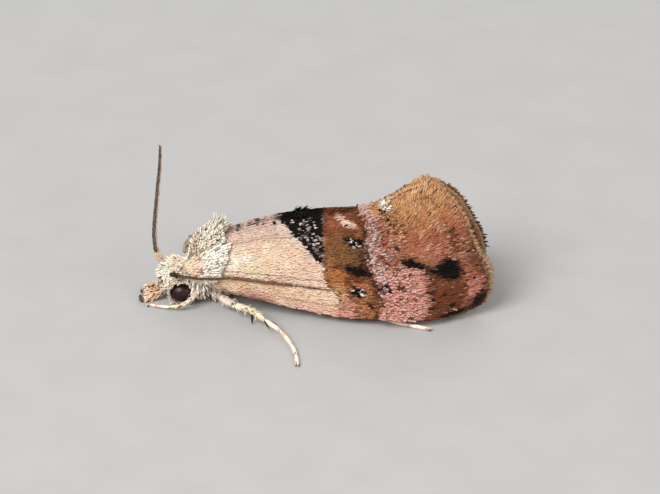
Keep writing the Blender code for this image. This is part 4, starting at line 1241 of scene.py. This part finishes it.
def steered(root, along, length):
    """Directions turned so that the tips stay left of the mirror plane and above the floor."""
    along = along.copy()
    for _ in range(3):
        tip = root + along * length[:, None]
        along[:, 1] -= np.maximum(tip[:, 1] + MIDLINE_CLEARANCE + 0.01, 0.0) / length
        along[:, 2] += np.maximum(0.03 - tip[:, 2], 0.0) / length
        along = unit(along)
    return along


def forewing_skin():
    """The forewing's membrane with raised veins, as a closed sheet."""
    s, t = lattice(130, 121)
    surface, face = wing_surface(s, t), wing_outward(s, t)
    outer = surface + face * (wing_relief(s, t) - WING_SKIN_DEPTH)[..., None]
    inner = surface - face * (0.085 + 0.10 * wing_thickening(s, t))[..., None]
    return sheet_arrays(held_left(outer), held_left(inner), triple(s * WING_ASPECT, t), flat_map(s, t))


def hindwing_grid(s, t):
    """Points of the left hindwing's outer face for fractions of its own length and width."""
    along = 0.10 + 0.74 * s
    across = 0.80 * t * (0.55 + 0.45 * np.sin(math.pi * np.clip(s, 0.0, 1.0)) ** 0.6)
    depth = 0.135 + 0.15 * wing_thickening(along, across)
    face = wing_outward(along, across)
    points = wing_surface(along, across) - face * depth[..., None]
    points[..., 2] -= np.maximum(points[..., 1] + MIDLINE_CLEARANCE, 0.0) * 1.2
    return held_left(points), face


def hindwing_skin():
    """The hindwing's thin membrane, as a closed sheet."""
    s, t = lattice(50, 26)
    outer, face = hindwing_grid(s, t)
    return sheet_arrays(outer, held_left(outer - face * 0.05), triple(s * 2.0, t), flat_map(s, t))


def hindwing_scales():
    """Flat scales on the hindwing's inner face and hair scales round its edge."""
    coat = Coat(WING_SCALE, 51)
    rng = coat.rng
    s, t = lattice(62, 34, (0.01, 0.02), (0.98, 0.99))
    s = (s + rng.uniform(-0.006, 0.006, s.shape)).ravel()
    t = (t + rng.uniform(-0.012, 0.012, t.shape)).ravel()
    points, face = hindwing_grid(s, t)
    lie = unit(hindwing_grid(s + 0.01, t)[0] - points)
    root = points - face * 0.052
    along = leaning(lie, -face, 0.0, 7 + 3 * rng.normal(0, 1, len(s)))
    sizes = (0.10, 0.055, 0.004)
    coat.add(root, along, -face, sizes, -0.05, triple(s * 2.0, t), flat_map(s, t))
    q = np.sort(rng.random(900))
    s = np.where(q < 0.7, q / 0.7, 1.0)
    t = np.where(q < 0.7, 1.0, 1.0 - (q - 0.7) / 0.3)
    points, face = hindwing_grid(s, t)
    inside = hindwing_grid(s - 0.05 * (q >= 0.7), t - 0.06 * (q < 0.7))[0]
    out = unit(points - inside)
    along = out + (0.5, 0.0, 0.0) + rng.normal(0, 0.05, (len(q), 3))
    root = points - face * 0.03 - out * 0.02
    sizes = (0.13 * rng.uniform(0.8, 1.2, len(q)), 0.03, 0.005)
    coat.add(root, along, face, sizes, 0.0, triple(s * 2.0, t), flat_map(s, t))
    return held(coat.arrays())


def body_skin():
    """One skin through head, thorax and abdomen."""
    x, turn = np.linspace(BODY_START, BODY_END, 190), np.linspace(0, 360, 56, endpoint=False)
    points = body_points(x[:, None], turn, COAT_DEPTH)[0]
    return tube_arrays(points, points)


def body_map(x, turn):
    """Bake map places of points of the body."""
    return flat_map((x - BODY_START) / (BODY_END - BODY_START), (turn % 360) / 360)


def body_rows(first, last, pitch_along, pitch_round, rng):
    """Places x and turn of scale roots in staggered rows round the body."""
    found = []
    for number, x in enumerate(np.linspace(first, last, int((last - first) / pitch_along))):
        _, wide, tall = body_profile(x)
        count = int(math.pi * (wide[0] + tall[0]) / pitch_round)
        turn = (np.arange(count) + 0.5 * (number % 2)) * 360 / count
        found.append(np.stack([np.full(count, x), turn], axis=1))
    found = np.concatenate(found)
    found[:, 0] += rng.uniform(-0.5, 0.5, len(found)) * pitch_along
    found[:, 1] += rng.uniform(-0.5, 0.5, len(found)) * 360 * pitch_round / BODY_GIRTH
    return found.T


def clothe_body(coat, x, turn, lie, lengths, width, lift, bend=-0.15, sink=0.02, swing=0.22):
    """Add scales to a coat at places on the body, with the parts of their lie, and lift in degrees."""
    root, outward = body_points(x, turn, COAT_DEPTH + sink)
    lie = square_to(triple(*lie), outward)
    along = leaning(lie, outward, coat.rng.normal(0, swing, len(x)), lift)
    coat.add(root, along, outward, (lengths, width, 0.006), bend, root, body_map(x, turn))


def not_in_eye(x, turn):
    """Which body places lie clear of the eyes."""
    points = body_points(x, turn, 0.0)[0]
    points[:, 1] = np.abs(points[:, 1])
    return np.linalg.norm(points - EYE_CENTRE, axis=1) > EYE_RADIUS * 1.02


def head_scales():
    """Ivory scales of the head, rough on the crown and combed down over the face."""
    coat = Coat(BODY_SCALE, 61)
    x, turn = body_rows(-2.90, -2.42, 0.030, 0.036, coat.rng)
    keep = not_in_eye(x, turn)
    x, turn = x[keep], turn[keep]
    top = np.clip(np.sin(np.radians(turn)), 0, 1)
    lie = (-1.0, 0.4 * np.cos(np.radians(turn)), -0.25 - 0.9 * smoothstep(-2.66, -2.86, x))
    lengths = (0.10 + 0.05 * top) * coat.rng.uniform(0.75, 1.2, len(x))
    lift = 18 + 20 * top + 10 * coat.rng.normal(0, 1, len(x))
    clothe_body(coat, x, turn, lie, lengths, 0.048, lift, swing=0.45)
    for side in (LEFT, RIGHT):
        eye_ring(coat, side)
        cheek_scales(coat, side)
    return coat.arrays()


def eye_ring(coat, side):
    """Scales rooted round an eye that lean over its rim, most of them from above."""
    rng, count = coat.rng, 300
    turn = rng.uniform(0, 2 * math.pi, count)
    spoke = triple(np.cos(turn), 0.0, np.sin(turn))
    outward = np.array([0.0, side, 0.0])
    out = rng.uniform(-0.02, 0.075, count)[:, None]
    root = spoke * EYE_RADIUS * rng.uniform(1.02, 1.16, count)[:, None] + outward * out
    root = root + np.array(EYE_CENTRE) * (1, side, 1)
    keep = root[:, 2] > 0.03
    root, spoke, turn = root[keep], spoke[keep], turn[keep]
    count = len(root)
    swirl = np.cross(outward, spoke) * side * 0.7
    along = outward * 0.45 + spoke * 0.40 + swirl + rng.normal(0, 0.2, (count, 3))
    sizes = (rng.uniform(0.07, 0.12, count), 0.040, 0.005)
    unwrap = body_map(root[:, 0], 180 + 90 * side + 36 * np.sin(turn))
    coat.add(root, along, spoke, sizes, -0.2, root, unwrap)


def cheek_scales(coat, side):
    """Long pale scales from the cheek and the leg roots that fill the space behind the eye."""
    rng, count = coat.rng, 1700
    x = rng.uniform(-2.56, -1.70, count)
    turn = (270 - side * rng.uniform(4, 96, count)) % 360
    fall = rng.uniform(-0.9, 0.0, count)
    lie = triple(rng.uniform(0.1, 1.0, count), side * 0.9, fall)
    lift = 36 + 16 * rng.normal(0, 1, count)
    keep = not_in_eye(x, turn)
    lengths = rng.uniform(0.20, 0.40, count)
    clothe_body(coat, x[keep], turn[keep], lie[keep].T, lengths[keep], 0.045, lift[keep])


def thorax_scales():
    """Rough ivory scales of the thorax, rising into an upright crest behind."""
    coat = Coat(BODY_SCALE, 71)
    rng = coat.rng
    x, turn = body_rows(-2.42, -1.38, 0.031, 0.037, rng)
    top = np.clip(np.sin(np.radians(turn)), 0, 1)
    lie = (1.0, 0.25 * np.cos(np.radians(turn)), 0.0)
    lengths = (0.09 + 0.05 * top) * rng.uniform(0.75, 1.2, len(x))
    lift = 14 + 20 * top + 10 * rng.normal(0, 1, len(x))
    clothe_body(coat, x, turn, lie, lengths, 0.060, lift, swing=0.45)
    count = 1100
    x = rng.uniform(-2.40, -1.80, count)
    turn = 90 + rng.choice([-1, 1], count) * rng.uniform(8, 70, count)
    lie = (0.75, 0.8 * np.cos(np.radians(turn)), 0.0)
    lift = 30 + 11 * rng.normal(0, 1, count)
    lengths = rng.uniform(0.09, 0.15, count)
    clothe_body(coat, x, turn, lie, lengths, 0.058, lift, sink=0.0, swing=0.4)
    # Rows of the crest: x, lift and length
    count, half_turn = 84, 46
    for x_row, lift_row, reach in (
        (-2.08, 46.0, 0.22),
        (-2.02, 54.0, 0.28),
        (-1.96, 63.0, 0.34),
        (-1.90, 73.0, 0.39),
        (-1.85, 84.0, 0.41),
        (-1.80, 96.0, 0.38),
        (-1.74, 108.0, 0.31),
    ):
        x = x_row + rng.normal(0, 0.018, count)
        turn = rng.uniform(-half_turn, half_turn, count)
        fade = 1 - 0.45 * np.abs(turn) / half_turn
        lengths = 0.93 * reach * fade * rng.uniform(0.72, 1.06, count)
        lift = lift_row + 9 * rng.normal(0, 1, count)
        clothe_body(coat, x, 90 + turn, (1.0, 0.0, 0.0), lengths, 0.060, lift, -0.12, 0.03)
    return coat.arrays()


def abdomen_scales():
    """Flat scales of the abdomen, and the tuft at its end."""
    coat = Coat(BODY_SCALE, 81)
    rng, behind, count = coat.rng, (1.0, 0.0, 0.0), 260
    x, turn = body_rows(WAIST_X, 1.66, 0.050, 0.046, rng)
    lift = 8 + 4 * rng.normal(0, 1, len(x))
    clothe_body(coat, x, turn, behind, 0.12 * rng.uniform(0.8, 1.15, len(x)), 0.055, lift)
    x, turn = rng.uniform(1.40, 1.68, count), rng.uniform(0, 360, count)
    lift = 5 + 5 * rng.normal(0, 1, count)
    clothe_body(coat, x, turn, behind, rng.uniform(0.14, 0.20, count), 0.030, lift, -0.05)
    return coat.arrays()


def tegula_skin():
    """The tegula's lobe as a thin closed sheet."""
    a, b = lattice(30, 24)
    inner = tegula_surface(a, b)
    outer = inner + tegula_outward(a, b) * tegula_depth(a, b)[..., None]
    return sheet_arrays(outer, inner, triple(a, b), flat_map(a, b))


def tegula_scales():
    """Long pale scales over the tegula, reaching past its rear edge, and some inside its top."""
    coat = Coat(BODY_SCALE, 91)
    rng = coat.rng
    a, b = lattice(30, 26, last=(0.98, 1.0))
    a = np.clip(a + rng.uniform(-0.02, 0.02, a.shape), 0, 1).ravel()
    b = np.clip(b + rng.uniform(-0.03, 0.03, b.shape), 0, 1).ravel()
    tegula_batch(coat, a, b, 1)
    tegula_batch(coat, rng.uniform(0, 0.98, 620), rng.uniform(0, 0.8, 620), -1)
    return coat.arrays()


def tegula_batch(coat, a, b, outer):
    """Add scales to the tegula's outer face, or to its inner face where outer is -1."""
    rng, count = coat.rng, len(a)
    face = tegula_outward(a, b)
    lie = unit(tegula_surface(a + 0.02, b) - tegula_surface(a - 0.02, b))
    lie = leaning(lie, face, rng.normal(0, 0.35, count), 0.0)
    lift = 9 + 8 * smoothstep(0.0, 0.4, a) + 8 * rng.normal(0, 1, count)
    along = leaning(lie, outer * face, 0.0, lift)
    depth = tegula_depth(a, b) * (outer > 0) - 0.012 * outer
    root = tegula_surface(a, b) + face * depth[:, None] - lie * 0.03
    sizes = ((0.10 + 0.04 * a) * rng.uniform(0.7, 1.2, count), 0.052, 0.006)
    start, share = (0.02, 0.48) if outer > 0 else (0.52, 0.47)
    place = triple(a, b, float(outer < 0))
    coat.add(root, along, outer * face, sizes, -0.18, place, start + share * place[:, :2])


def limb_tube(line, side, steps, sides, swell, own_place=False):
    """A smooth tube along a limb, with its radius shaped by a function of the station."""
    stations = np.linspace(0, len(line) - 1, steps)
    centres, radii, _, up, beside = limb_frame(line, side, stations)
    turn = np.arange(sides) * 2 * math.pi / sides
    out = spokes(up[:, None], beside[:, None], turn)
    rings = centres[:, None] + out * (radii * swell(stations))[:, None, None]
    along = stations[:, None]
    return tube_arrays(rings, rings if own_place else triple(along, along, out[..., 0]))


def clothe_limb(coat, line, side, stations, sizes, lift, swell, own_place=False, depth=0.012):
    """Add scales round a limb at the given stations, lying towards its tip."""
    rng, count = coat.rng, len(stations)
    centres, radii, along, up, beside = limb_frame(line, side, stations)
    turn = rng.uniform(0, 2 * math.pi, count)
    outward = spokes(up, beside, turn)
    rise = lift + 0.4 * lift * rng.normal(0, 1, count)
    lie = leaning(along, outward, rng.normal(0, 0.012 * lift, count), rise)
    root = centres + outward * (radii * swell(stations) - depth)[:, None] - along * 0.02
    place = root if own_place else triple(stations, stations, outward[:, 0])
    unwrap = flat_map(stations / (len(line) - 1), turn / (2 * math.pi))
    length, width = sizes
    sizes = (length * rng.uniform(0.75, 1.15, count), width, 0.006)
    coat.add(root, lie, outward, sizes, -0.15, place, unwrap)


def stout(stations):
    """The same share of the solid's radius all along a palp."""
    return np.full_like(stations, 0.72)


def ringed(stations):
    """A feeler's radius: a plain scape, then rings that each swell towards their end."""
    return np.where(stations > 1.2, 0.62 + 0.22 * ((FEELER_RINGS * stations) % 1.0), 0.82)


def jointed(stations):
    """A leg's radius: slender, a little thicker along each joint's middle than at its ends."""
    phase = np.abs(stations - np.round(stations))
    return (0.44 + 0.24 * smoothstep(0.0, 0.22, phase)) * (1.15 - 0.10 * smoothstep(3.0, 5.0, stations))


def slender(stations):
    """A foreleg's radius."""
    return 0.66 * jointed(stations)


def palp_scales(line, side, rng):
    """Close scales all along a palp, and shaggy ones short of its tip."""
    coat, last = Coat(BODY_SCALE, rng), len(line) - 1.0
    close, shaggy = rng.uniform(0.1, last, 600), rng.uniform(0.1, last - 0.7, 420)
    clothe_limb(coat, line, side, close, (0.10, 0.046), 13, stout, True, 0.015)
    clothe_limb(coat, line, side, shaggy, (0.12, 0.046), 22, stout, True, 0.015)
    return coat.arrays()


def spike(base, tip, radius, station):
    """A slender closed cone, for spurs and claws."""
    along = unit(tip - base)
    up = square_to(np.array([0.0, 1.0, 0.3]), along)
    out = spokes(up, np.cross(along, up), np.arange(SPIKE_SIDES) * 2 * math.pi / SPIKE_SIDES)
    rings = np.array([base + (tip - base) * share + out * radius * wide for share, wide in SPIKE])
    return tube_arrays(rings, np.full_like(rings, station), 1.0)


def leg_skin(line, side, spurred):
    """A leg's skin with spurs and claws; the forelegs have no spurs and are slender."""
    parts = [limb_tube(line, side, 90, 14, jointed if spurred else slender)]
    down = np.array([0.0, 0.0, -1.0])
    if len(spurred) == 1:
        station, length, radius = KNEE_SPUR
        knee = limb_frame(line, side, [station])[0][0]
        parts.append(spike(knee, knee + down * length, radius, 3.0))
    last = len(line) - 1
    for station in (*spurred, last):
        centre, radius, along, _, beside = (v[0] for v in limb_frame(line, side, [station]))
        for aside in (-beside, beside):
            if station == last:
                base = centre + aside * 0.015
                tip = base + along * 0.05 + aside * 0.025 + down * 0.03
                parts.append(spike(base, tip, 0.010, station))
            else:
                base = centre + aside * radius * 0.35
                tip = base + unit(along + 0.45 * aside + down * 0.12) * 0.24
                parts.append(spike(base, tip, 0.018, station))
    return joined(parts)


def leg_scales(line, side, spurred, rng):
    """Flat scales all along a leg, and raised ones on its upper part."""
    coat = Coat(BODY_SCALE, rng)
    swell, sizes, raised = (jointed, (0.075, 0.033), 170) if spurred else (slender, (0.06, 0.026), 50)
    flat = rng.uniform(0.2, len(line) - 1.0, 180 * len(line))
    clothe_limb(coat, line, side, flat, sizes, 9, swell)
    clothe_limb(coat, line, side, rng.uniform(0.2, 3.6, raised), (0.10, 0.036), 26, swell)
    return coat.arrays()


def feeler_skin(line, side):
    """A feeler of many rings on a stout scape."""
    steps = int((len(line) - 1) * FEELER_RINGS) * 5 + 1
    return feeler_marks(limb_tube(line, side, steps, 12, ringed), side)


def feeler_scales(line, side):
    """Small scales on each ring of a feeler, denser on its scape."""
    coat = Coat(BODY_SCALE, 101)
    last = len(line) - 1.0
    flagellum, scape = coat.rng.uniform(1.0, last - 0.03, 800), coat.rng.uniform(0.05, 1.3, 200)
    clothe_limb(coat, line, side, flagellum, (0.055, 0.022), 11, ringed, depth=0.006)
    clothe_limb(coat, line, side, scape, (0.09, 0.036), 18, ringed)
    return feeler_marks(coat.arrays(), side)


def feeler_marks(arrays, side):
    """A feeler's arrays with its rings counted in their place, and a mark on the folded one."""
    arrays["place"][:, 0] *= FEELER_RINGS
    if side == LEFT:
        arrays["across"] = arrays["across"] + FOLDED_MARK
    return arrays


def eye_ball(side):
    """A compound eye: a ball of six-sided facets, each a low dome inside its rim."""
    work = bmesh.new()
    bmesh.ops.create_icosphere(work, subdivisions=5, radius=1.0)
    work.verts.ensure_lookup_table()
    domes = np.array([v.co[:] for v in work.verts])
    faces = np.array([[v.index for v in f.verts] for f in work.faces])
    work.free()
    ball = np.concatenate([domes * 1.004, unit(domes[faces].mean(1)) * 0.985])
    rims = len(domes) + np.arange(len(faces))
    fan = [np.stack([faces[:, i], faces[:, (i + 1) % 3], rims], axis=1) for i in range(3)]
    points = np.array(EYE_CENTRE) * (1, side, 1) + ball * EYE_SHAPE * EYE_RADIUS
    # reach is 1 in the grooves between facets, where the eye's finish paints shade
    reach = np.repeat([0.0, 1.0], (len(domes), len(faces)))
    return mesh_arrays(points, np.concatenate(fan), ball, None, reach=reach)


def tint(key, text, default):
    """A colour that a user may change."""
    name = key.replace("_", " ").capitalize()
    return FloatVectorProperty(
        name=name, description=text, default=default, size=3, min=0, max=1, subtype="COLOR"
    )


def number(name, text, default, low=0.0, **more):
    """A number that a user may change."""
    return FloatProperty(name=name, description=text, default=default, min=low, **more)


class MothSettings(PropertyGroup):
    """Sizes and colours of the moth's coat."""

    scale_length: number(
        "Wing scale length", "Length of one flat scale of the forewing",
        0.085 * MM, 0.03 * MM, max=0.3 * MM, precision=6, unit="LENGTH",
    )
    scale_width: number(
        "Wing scale width", "Width of one flat scale of the forewing",
        0.045 * MM, 0.02 * MM, max=0.2 * MM, precision=6, unit="LENGTH",
    )


for tint_key, tint_text, tint_colour in (
    ("ivory", "Palest scales of head and thorax", (0.94, 0.88, 0.77)),
    # frost also paints the highlight along the step's crest
    ("frost", "Whitish streaks and crest lines", (0.74, 0.60, 0.55)),
    ("butter", "Yellowish cream", (0.85, 0.70, 0.42)),
    ("cream", "Inner half of the forewing", (0.86, 0.66, 0.48)),
    ("peach", "Warmer cream of the forewing", (0.83, 0.57, 0.38)),
    # shell also paints shade along the wing's back and a highlight along the upright feeler's rear
    ("shell", "Pinkish grey of rims and flecks", (0.72, 0.55, 0.46)),
    # honey also paints light on the fringe's inner layers
    ("honey", "Strip below the fold", (0.8, 0.48, 0.26)),
    # blush also paints light on the wing's lower edge
    ("blush", "Pink cream beside the band", (0.84, 0.55, 0.42)),
    ("coral", "Bright pink scales", (0.8, 0.38, 0.3)),
    ("pink", "Pink scales of the lower wing", (0.74, 0.3, 0.23)),
    # mauve also paints shade along the wing's back
    ("mauve", "Raised band of the outer third", (0.56, 0.27, 0.22)),
    ("wine", "Dark red flecks", (0.22, 0.06, 0.05)),
    ("rose", "Rose rust of the fan", (0.43, 0.14, 0.075)),
    ("copper", "Bright rust", (0.5, 0.19, 0.085)),
    ("amber", "Orange of the band", (0.46, 0.17, 0.055)),
    ("brick", "Red rust of the outer field", (0.26, 0.075, 0.035)),
    ("rust", "Dark rust", (0.19, 0.055, 0.022)),
    ("tan", "Orange tan of the fan's upper part", (0.6, 0.3, 0.13)),
    ("olive", "Olive brown in the band", (0.21, 0.095, 0.035)),
    ("khaki", "Olive grey of the fringe", (0.28, 0.15, 0.075)),
    # umber also paints shadow before the step, in the fold's crease and along the lower edge near the
    # base
    ("umber", "Dark brown lines", (0.10, 0.042, 0.024)),
    ("slate", "Grey-brown flecks", (0.15, 0.115, 0.085)),
    ("soot", "Dark rings of the feelers", (0.045, 0.034, 0.024)),
    # black also paints shade in the grooves between the eye's facets
    ("black", "Black patches and spots", (0.006, 0.004, 0.004)),
    ("eye", "Ground colour of the eyes", (0.010, 0.003, 0.004)),
    ("eye_glow", "Warmer parts of the eyes", (0.050, 0.008, 0.010)),
):
    MothSettings.__annotations__[tint_key] = tint(tint_key, tint_text, tint_colour)


class StageSettings(PropertyGroup):
    """Light, floor and camera."""

    key_power: number("Key light", "Power of the main soft light", 0.25, unit="POWER")
    fill_power: number("Fill light", "Power of the weaker soft lights", 0.05, unit="POWER")
    world_strength: number("Surround", "Strength of the even light all round", 0.45)
    floor_colour: tint("floor", "Colour of the floor", (0.47, 0.465, 0.46))
    camera_distance: number(
        "Camera distance", "From the camera to the middle of the moth",
        150 * MM, 20 * MM, unit="LENGTH",
    )
    elevation: number(
        "Camera elevation", "How far above the horizon the camera stands",
        math.radians(29), max=math.pi / 2, subtype="ANGLE",
    )


class MOTH_OT_wings(Operator):
    """Cover the wings with skins, scales, tufts and fringe"""

    bl_idname = "moth.wings"
    bl_label = "Wings"

    def execute(self, context):
        settings = context.scene.moth
        for side, word in SIDE_NAMES.items():
            for wing, part, arrays, look, slot in (
                ("forewing", "skin", forewing_skin(), "forewing_scales", "wing_scales"),
                ("forewing", "coat", forewing_scales(settings), "forewing_scales", "wing_scales"),
                ("forewing", "tufts", forewing_tufts(), "forewing_scales", "wing_scales"),
                ("forewing", "fringe", forewing_fringe(side), "fringe_scales", "wing_scales"),
                ("hindwing", "skin", hindwing_skin(), "grey_scales", "hindwing_scales"),
                ("hindwing", "coat", hindwing_scales(), "grey_scales", "hindwing_scales"),
            ):
                make_piece(f"{wing}_{word}_{part}", on_side(arrays, side), look)
        return {"FINISHED"}


class MOTH_OT_body(Operator):
    """Cover head, thorax, abdomen and tegulae with their skin and scales"""

    bl_idname = "moth.body"
    bl_label = "Body"

    def execute(self, context):
        nodes = ("head", "thorax", "abdomen")
        make_piece("body_skin", body_skin(), "cream_scales", nodes)
        make_piece("head_coat", head_scales(), "cream_scales")
        make_piece("thorax_coat", thorax_scales(), "cream_scales")
        make_piece("abdomen_coat", abdomen_scales(), "grey_scales")
        for side, word in SIDE_NAMES.items():
            for part, arrays in (("skin", tegula_skin()), ("coat", tegula_scales())):
                name = f"tegula_{word}_{part}"
                make_piece(name, on_side(arrays, side), "tegula_scales")
        return {"FINISHED"}


class MOTH_OT_eyes(Operator):
    """Make the two faceted eyes"""

    bl_idname = "moth.eyes"
    bl_label = "Eyes"

    def execute(self, context):
        for side, word in SIDE_NAMES.items():
            make_piece(f"eye_{word}_facets", eye_ball(side), "eye_facets")
        return {"FINISHED"}


class MOTH_OT_limbs(Operator):
    """Make palps, feelers and legs"""

    bl_idname = "moth.limbs"
    bl_label = "Palps, feelers and legs"

    def execute(self, context):
        rng = np.random.default_rng(111)
        for side, word in SIDE_NAMES.items():
            line = PALPS[side]
            skin, coat = limb_tube(line, side, 40, 14, stout, True), palp_scales(line, side, rng)
            make_piece(f"palp_{word}_skin", skin, "palp_coat")
            make_piece(f"palp_{word}_coat", coat, "palp_coat")
        for side, line in ((LEFT, folded_feeler()), (RIGHT, FEELER_UPRIGHT)):
            name = f"antenna_{SIDE_NAMES[side]}"
            make_piece(f"{name}_rings", feeler_skin(line, side), "feeler_rings")
            make_piece(f"{name}_coat", feeler_scales(line, side), "feeler_rings")
        for name, line, side, spurred in LEGS:
            coat = leg_scales(line, side, spurred, rng)
            make_piece(f"{name}_skin", leg_skin(line, side, spurred), "leg_coat")
            make_piece(f"{name}_coat", coat, "leg_coat")
        return {"FINISHED"}


class MOTH_OT_stage(Operator):
    """Set up the floor, the soft lights and the camera"""

    bl_idname = "moth.stage"
    bl_label = "Stage"

    def execute(self, context):
        settings = context.scene.moth_stage
        target = Vector(AIM) * MM
        self.make_floor(settings)
        self.soft_light("key", (-70, -90, 110), 90, settings.key_power, target)
        self.soft_light("fill", (110, -60, 60), 90, settings.fill_power, target)
        self.soft_light("back", (30, 110, 90), 80, settings.fill_power, target)
        self.make_world(settings)
        self.make_camera(context, settings, target)
        context.scene.view_settings.view_transform = "Standard"
        return {"FINISHED"}

    def make_floor(self, settings):
        """A large plain floor."""
        mesh = bpy.data.meshes.new("floor")
        work = bmesh.new()
        bmesh.ops.create_grid(work, x_segments=2, y_segments=2, size=FLOOR_HALF * MM)
        work.to_mesh(mesh)
        work.free()
        mesh.materials.append(finish("floor_matte", settings))
        added("floor", mesh)

    def soft_light(self, name, place, size, power, target):
        """One square soft light aimed at the moth."""
        data = bpy.data.lights.new(name, "AREA")
        data.shape = "SQUARE"
        data.size = size * MM
        data.energy = power
        light = added(name, data)
        light.location = Vector(place) * MM
        light.rotation_euler = (target - light.location).to_track_quat("-Z", "Y").to_euler()

    def make_world(self, settings):
        """Even pale light all round."""
        world = bpy.data.worlds.new("surround")
        world.use_nodes = True
        shade = world.node_tree.nodes["Background"]
        shade.inputs["Color"].default_value = (1.0, 0.985, 0.96, 1.0)
        shade.inputs["Strength"].default_value = settings.world_strength
        bpy.context.scene.world = world

    def make_camera(self, context, settings, target):
        """A long lens at the photo's angle, so that the picture is almost without perspective."""
        data = bpy.data.cameras.new("camera")
        field_width = FRAME_WIDTH_PX / PIXELS_PER_MM * MM
        data.sensor_width = SENSOR_WIDTH
        data.lens = SENSOR_WIDTH * settings.camera_distance / field_width
        data.clip_start = 0.1 * settings.camera_distance
        data.clip_end = 20 * settings.camera_distance
        camera = added("camera", data)
        back = Vector((0, -math.cos(settings.elevation), math.sin(settings.elevation)))
        camera.location = target + back * settings.camera_distance
        camera.rotation_euler = (-back).to_track_quat("-Z", "Y").to_euler()
        context.scene.camera = camera


OPERATORS = (MOTH_OT_wings, MOTH_OT_body, MOTH_OT_eyes, MOTH_OT_limbs, MOTH_OT_stage)


class MOTH_PT_panel(Panel):
    """Buttons for the moth's pieces"""

    bl_idname = "MOTH_PT_panel"
    bl_label = "Resting moth"
    bl_space_type = "VIEW_3D"
    bl_region_type = "UI"
    bl_category = "Moth"

    def draw(self, context):
        for operator in OPERATORS:
            self.layout.operator(operator.bl_idname)
        for group in (context.scene.moth, context.scene.moth_stage):
            for key in group.bl_rna.properties.keys():
                if key not in ("rna_type", "name"):
                    self.layout.prop(group, key)


CLASSES = (MothSettings, StageSettings, *OPERATORS, MOTH_PT_panel)


def register():
    """Register the add-on's classes and settings."""
    for each in CLASSES:
        bpy.utils.register_class(each)
    bpy.types.Scene.moth = PointerProperty(type=MothSettings)
    bpy.types.Scene.moth_stage = PointerProperty(type=StageSettings)


def unregister():
    """Remove the add-on's classes and settings."""
    del bpy.types.Scene.moth_stage
    del bpy.types.Scene.moth
    for each in reversed(CLASSES):
        bpy.utils.unregister_class(each)


def main():
    """Dress the moth and set the stage."""
    register()
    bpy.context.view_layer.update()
    bpy.ops.moth.wings()
    bpy.ops.moth.body()
    bpy.ops.moth.eyes()
    bpy.ops.moth.limbs()
    bpy.ops.moth.stage()


if __name__ == "__main__":
    main()
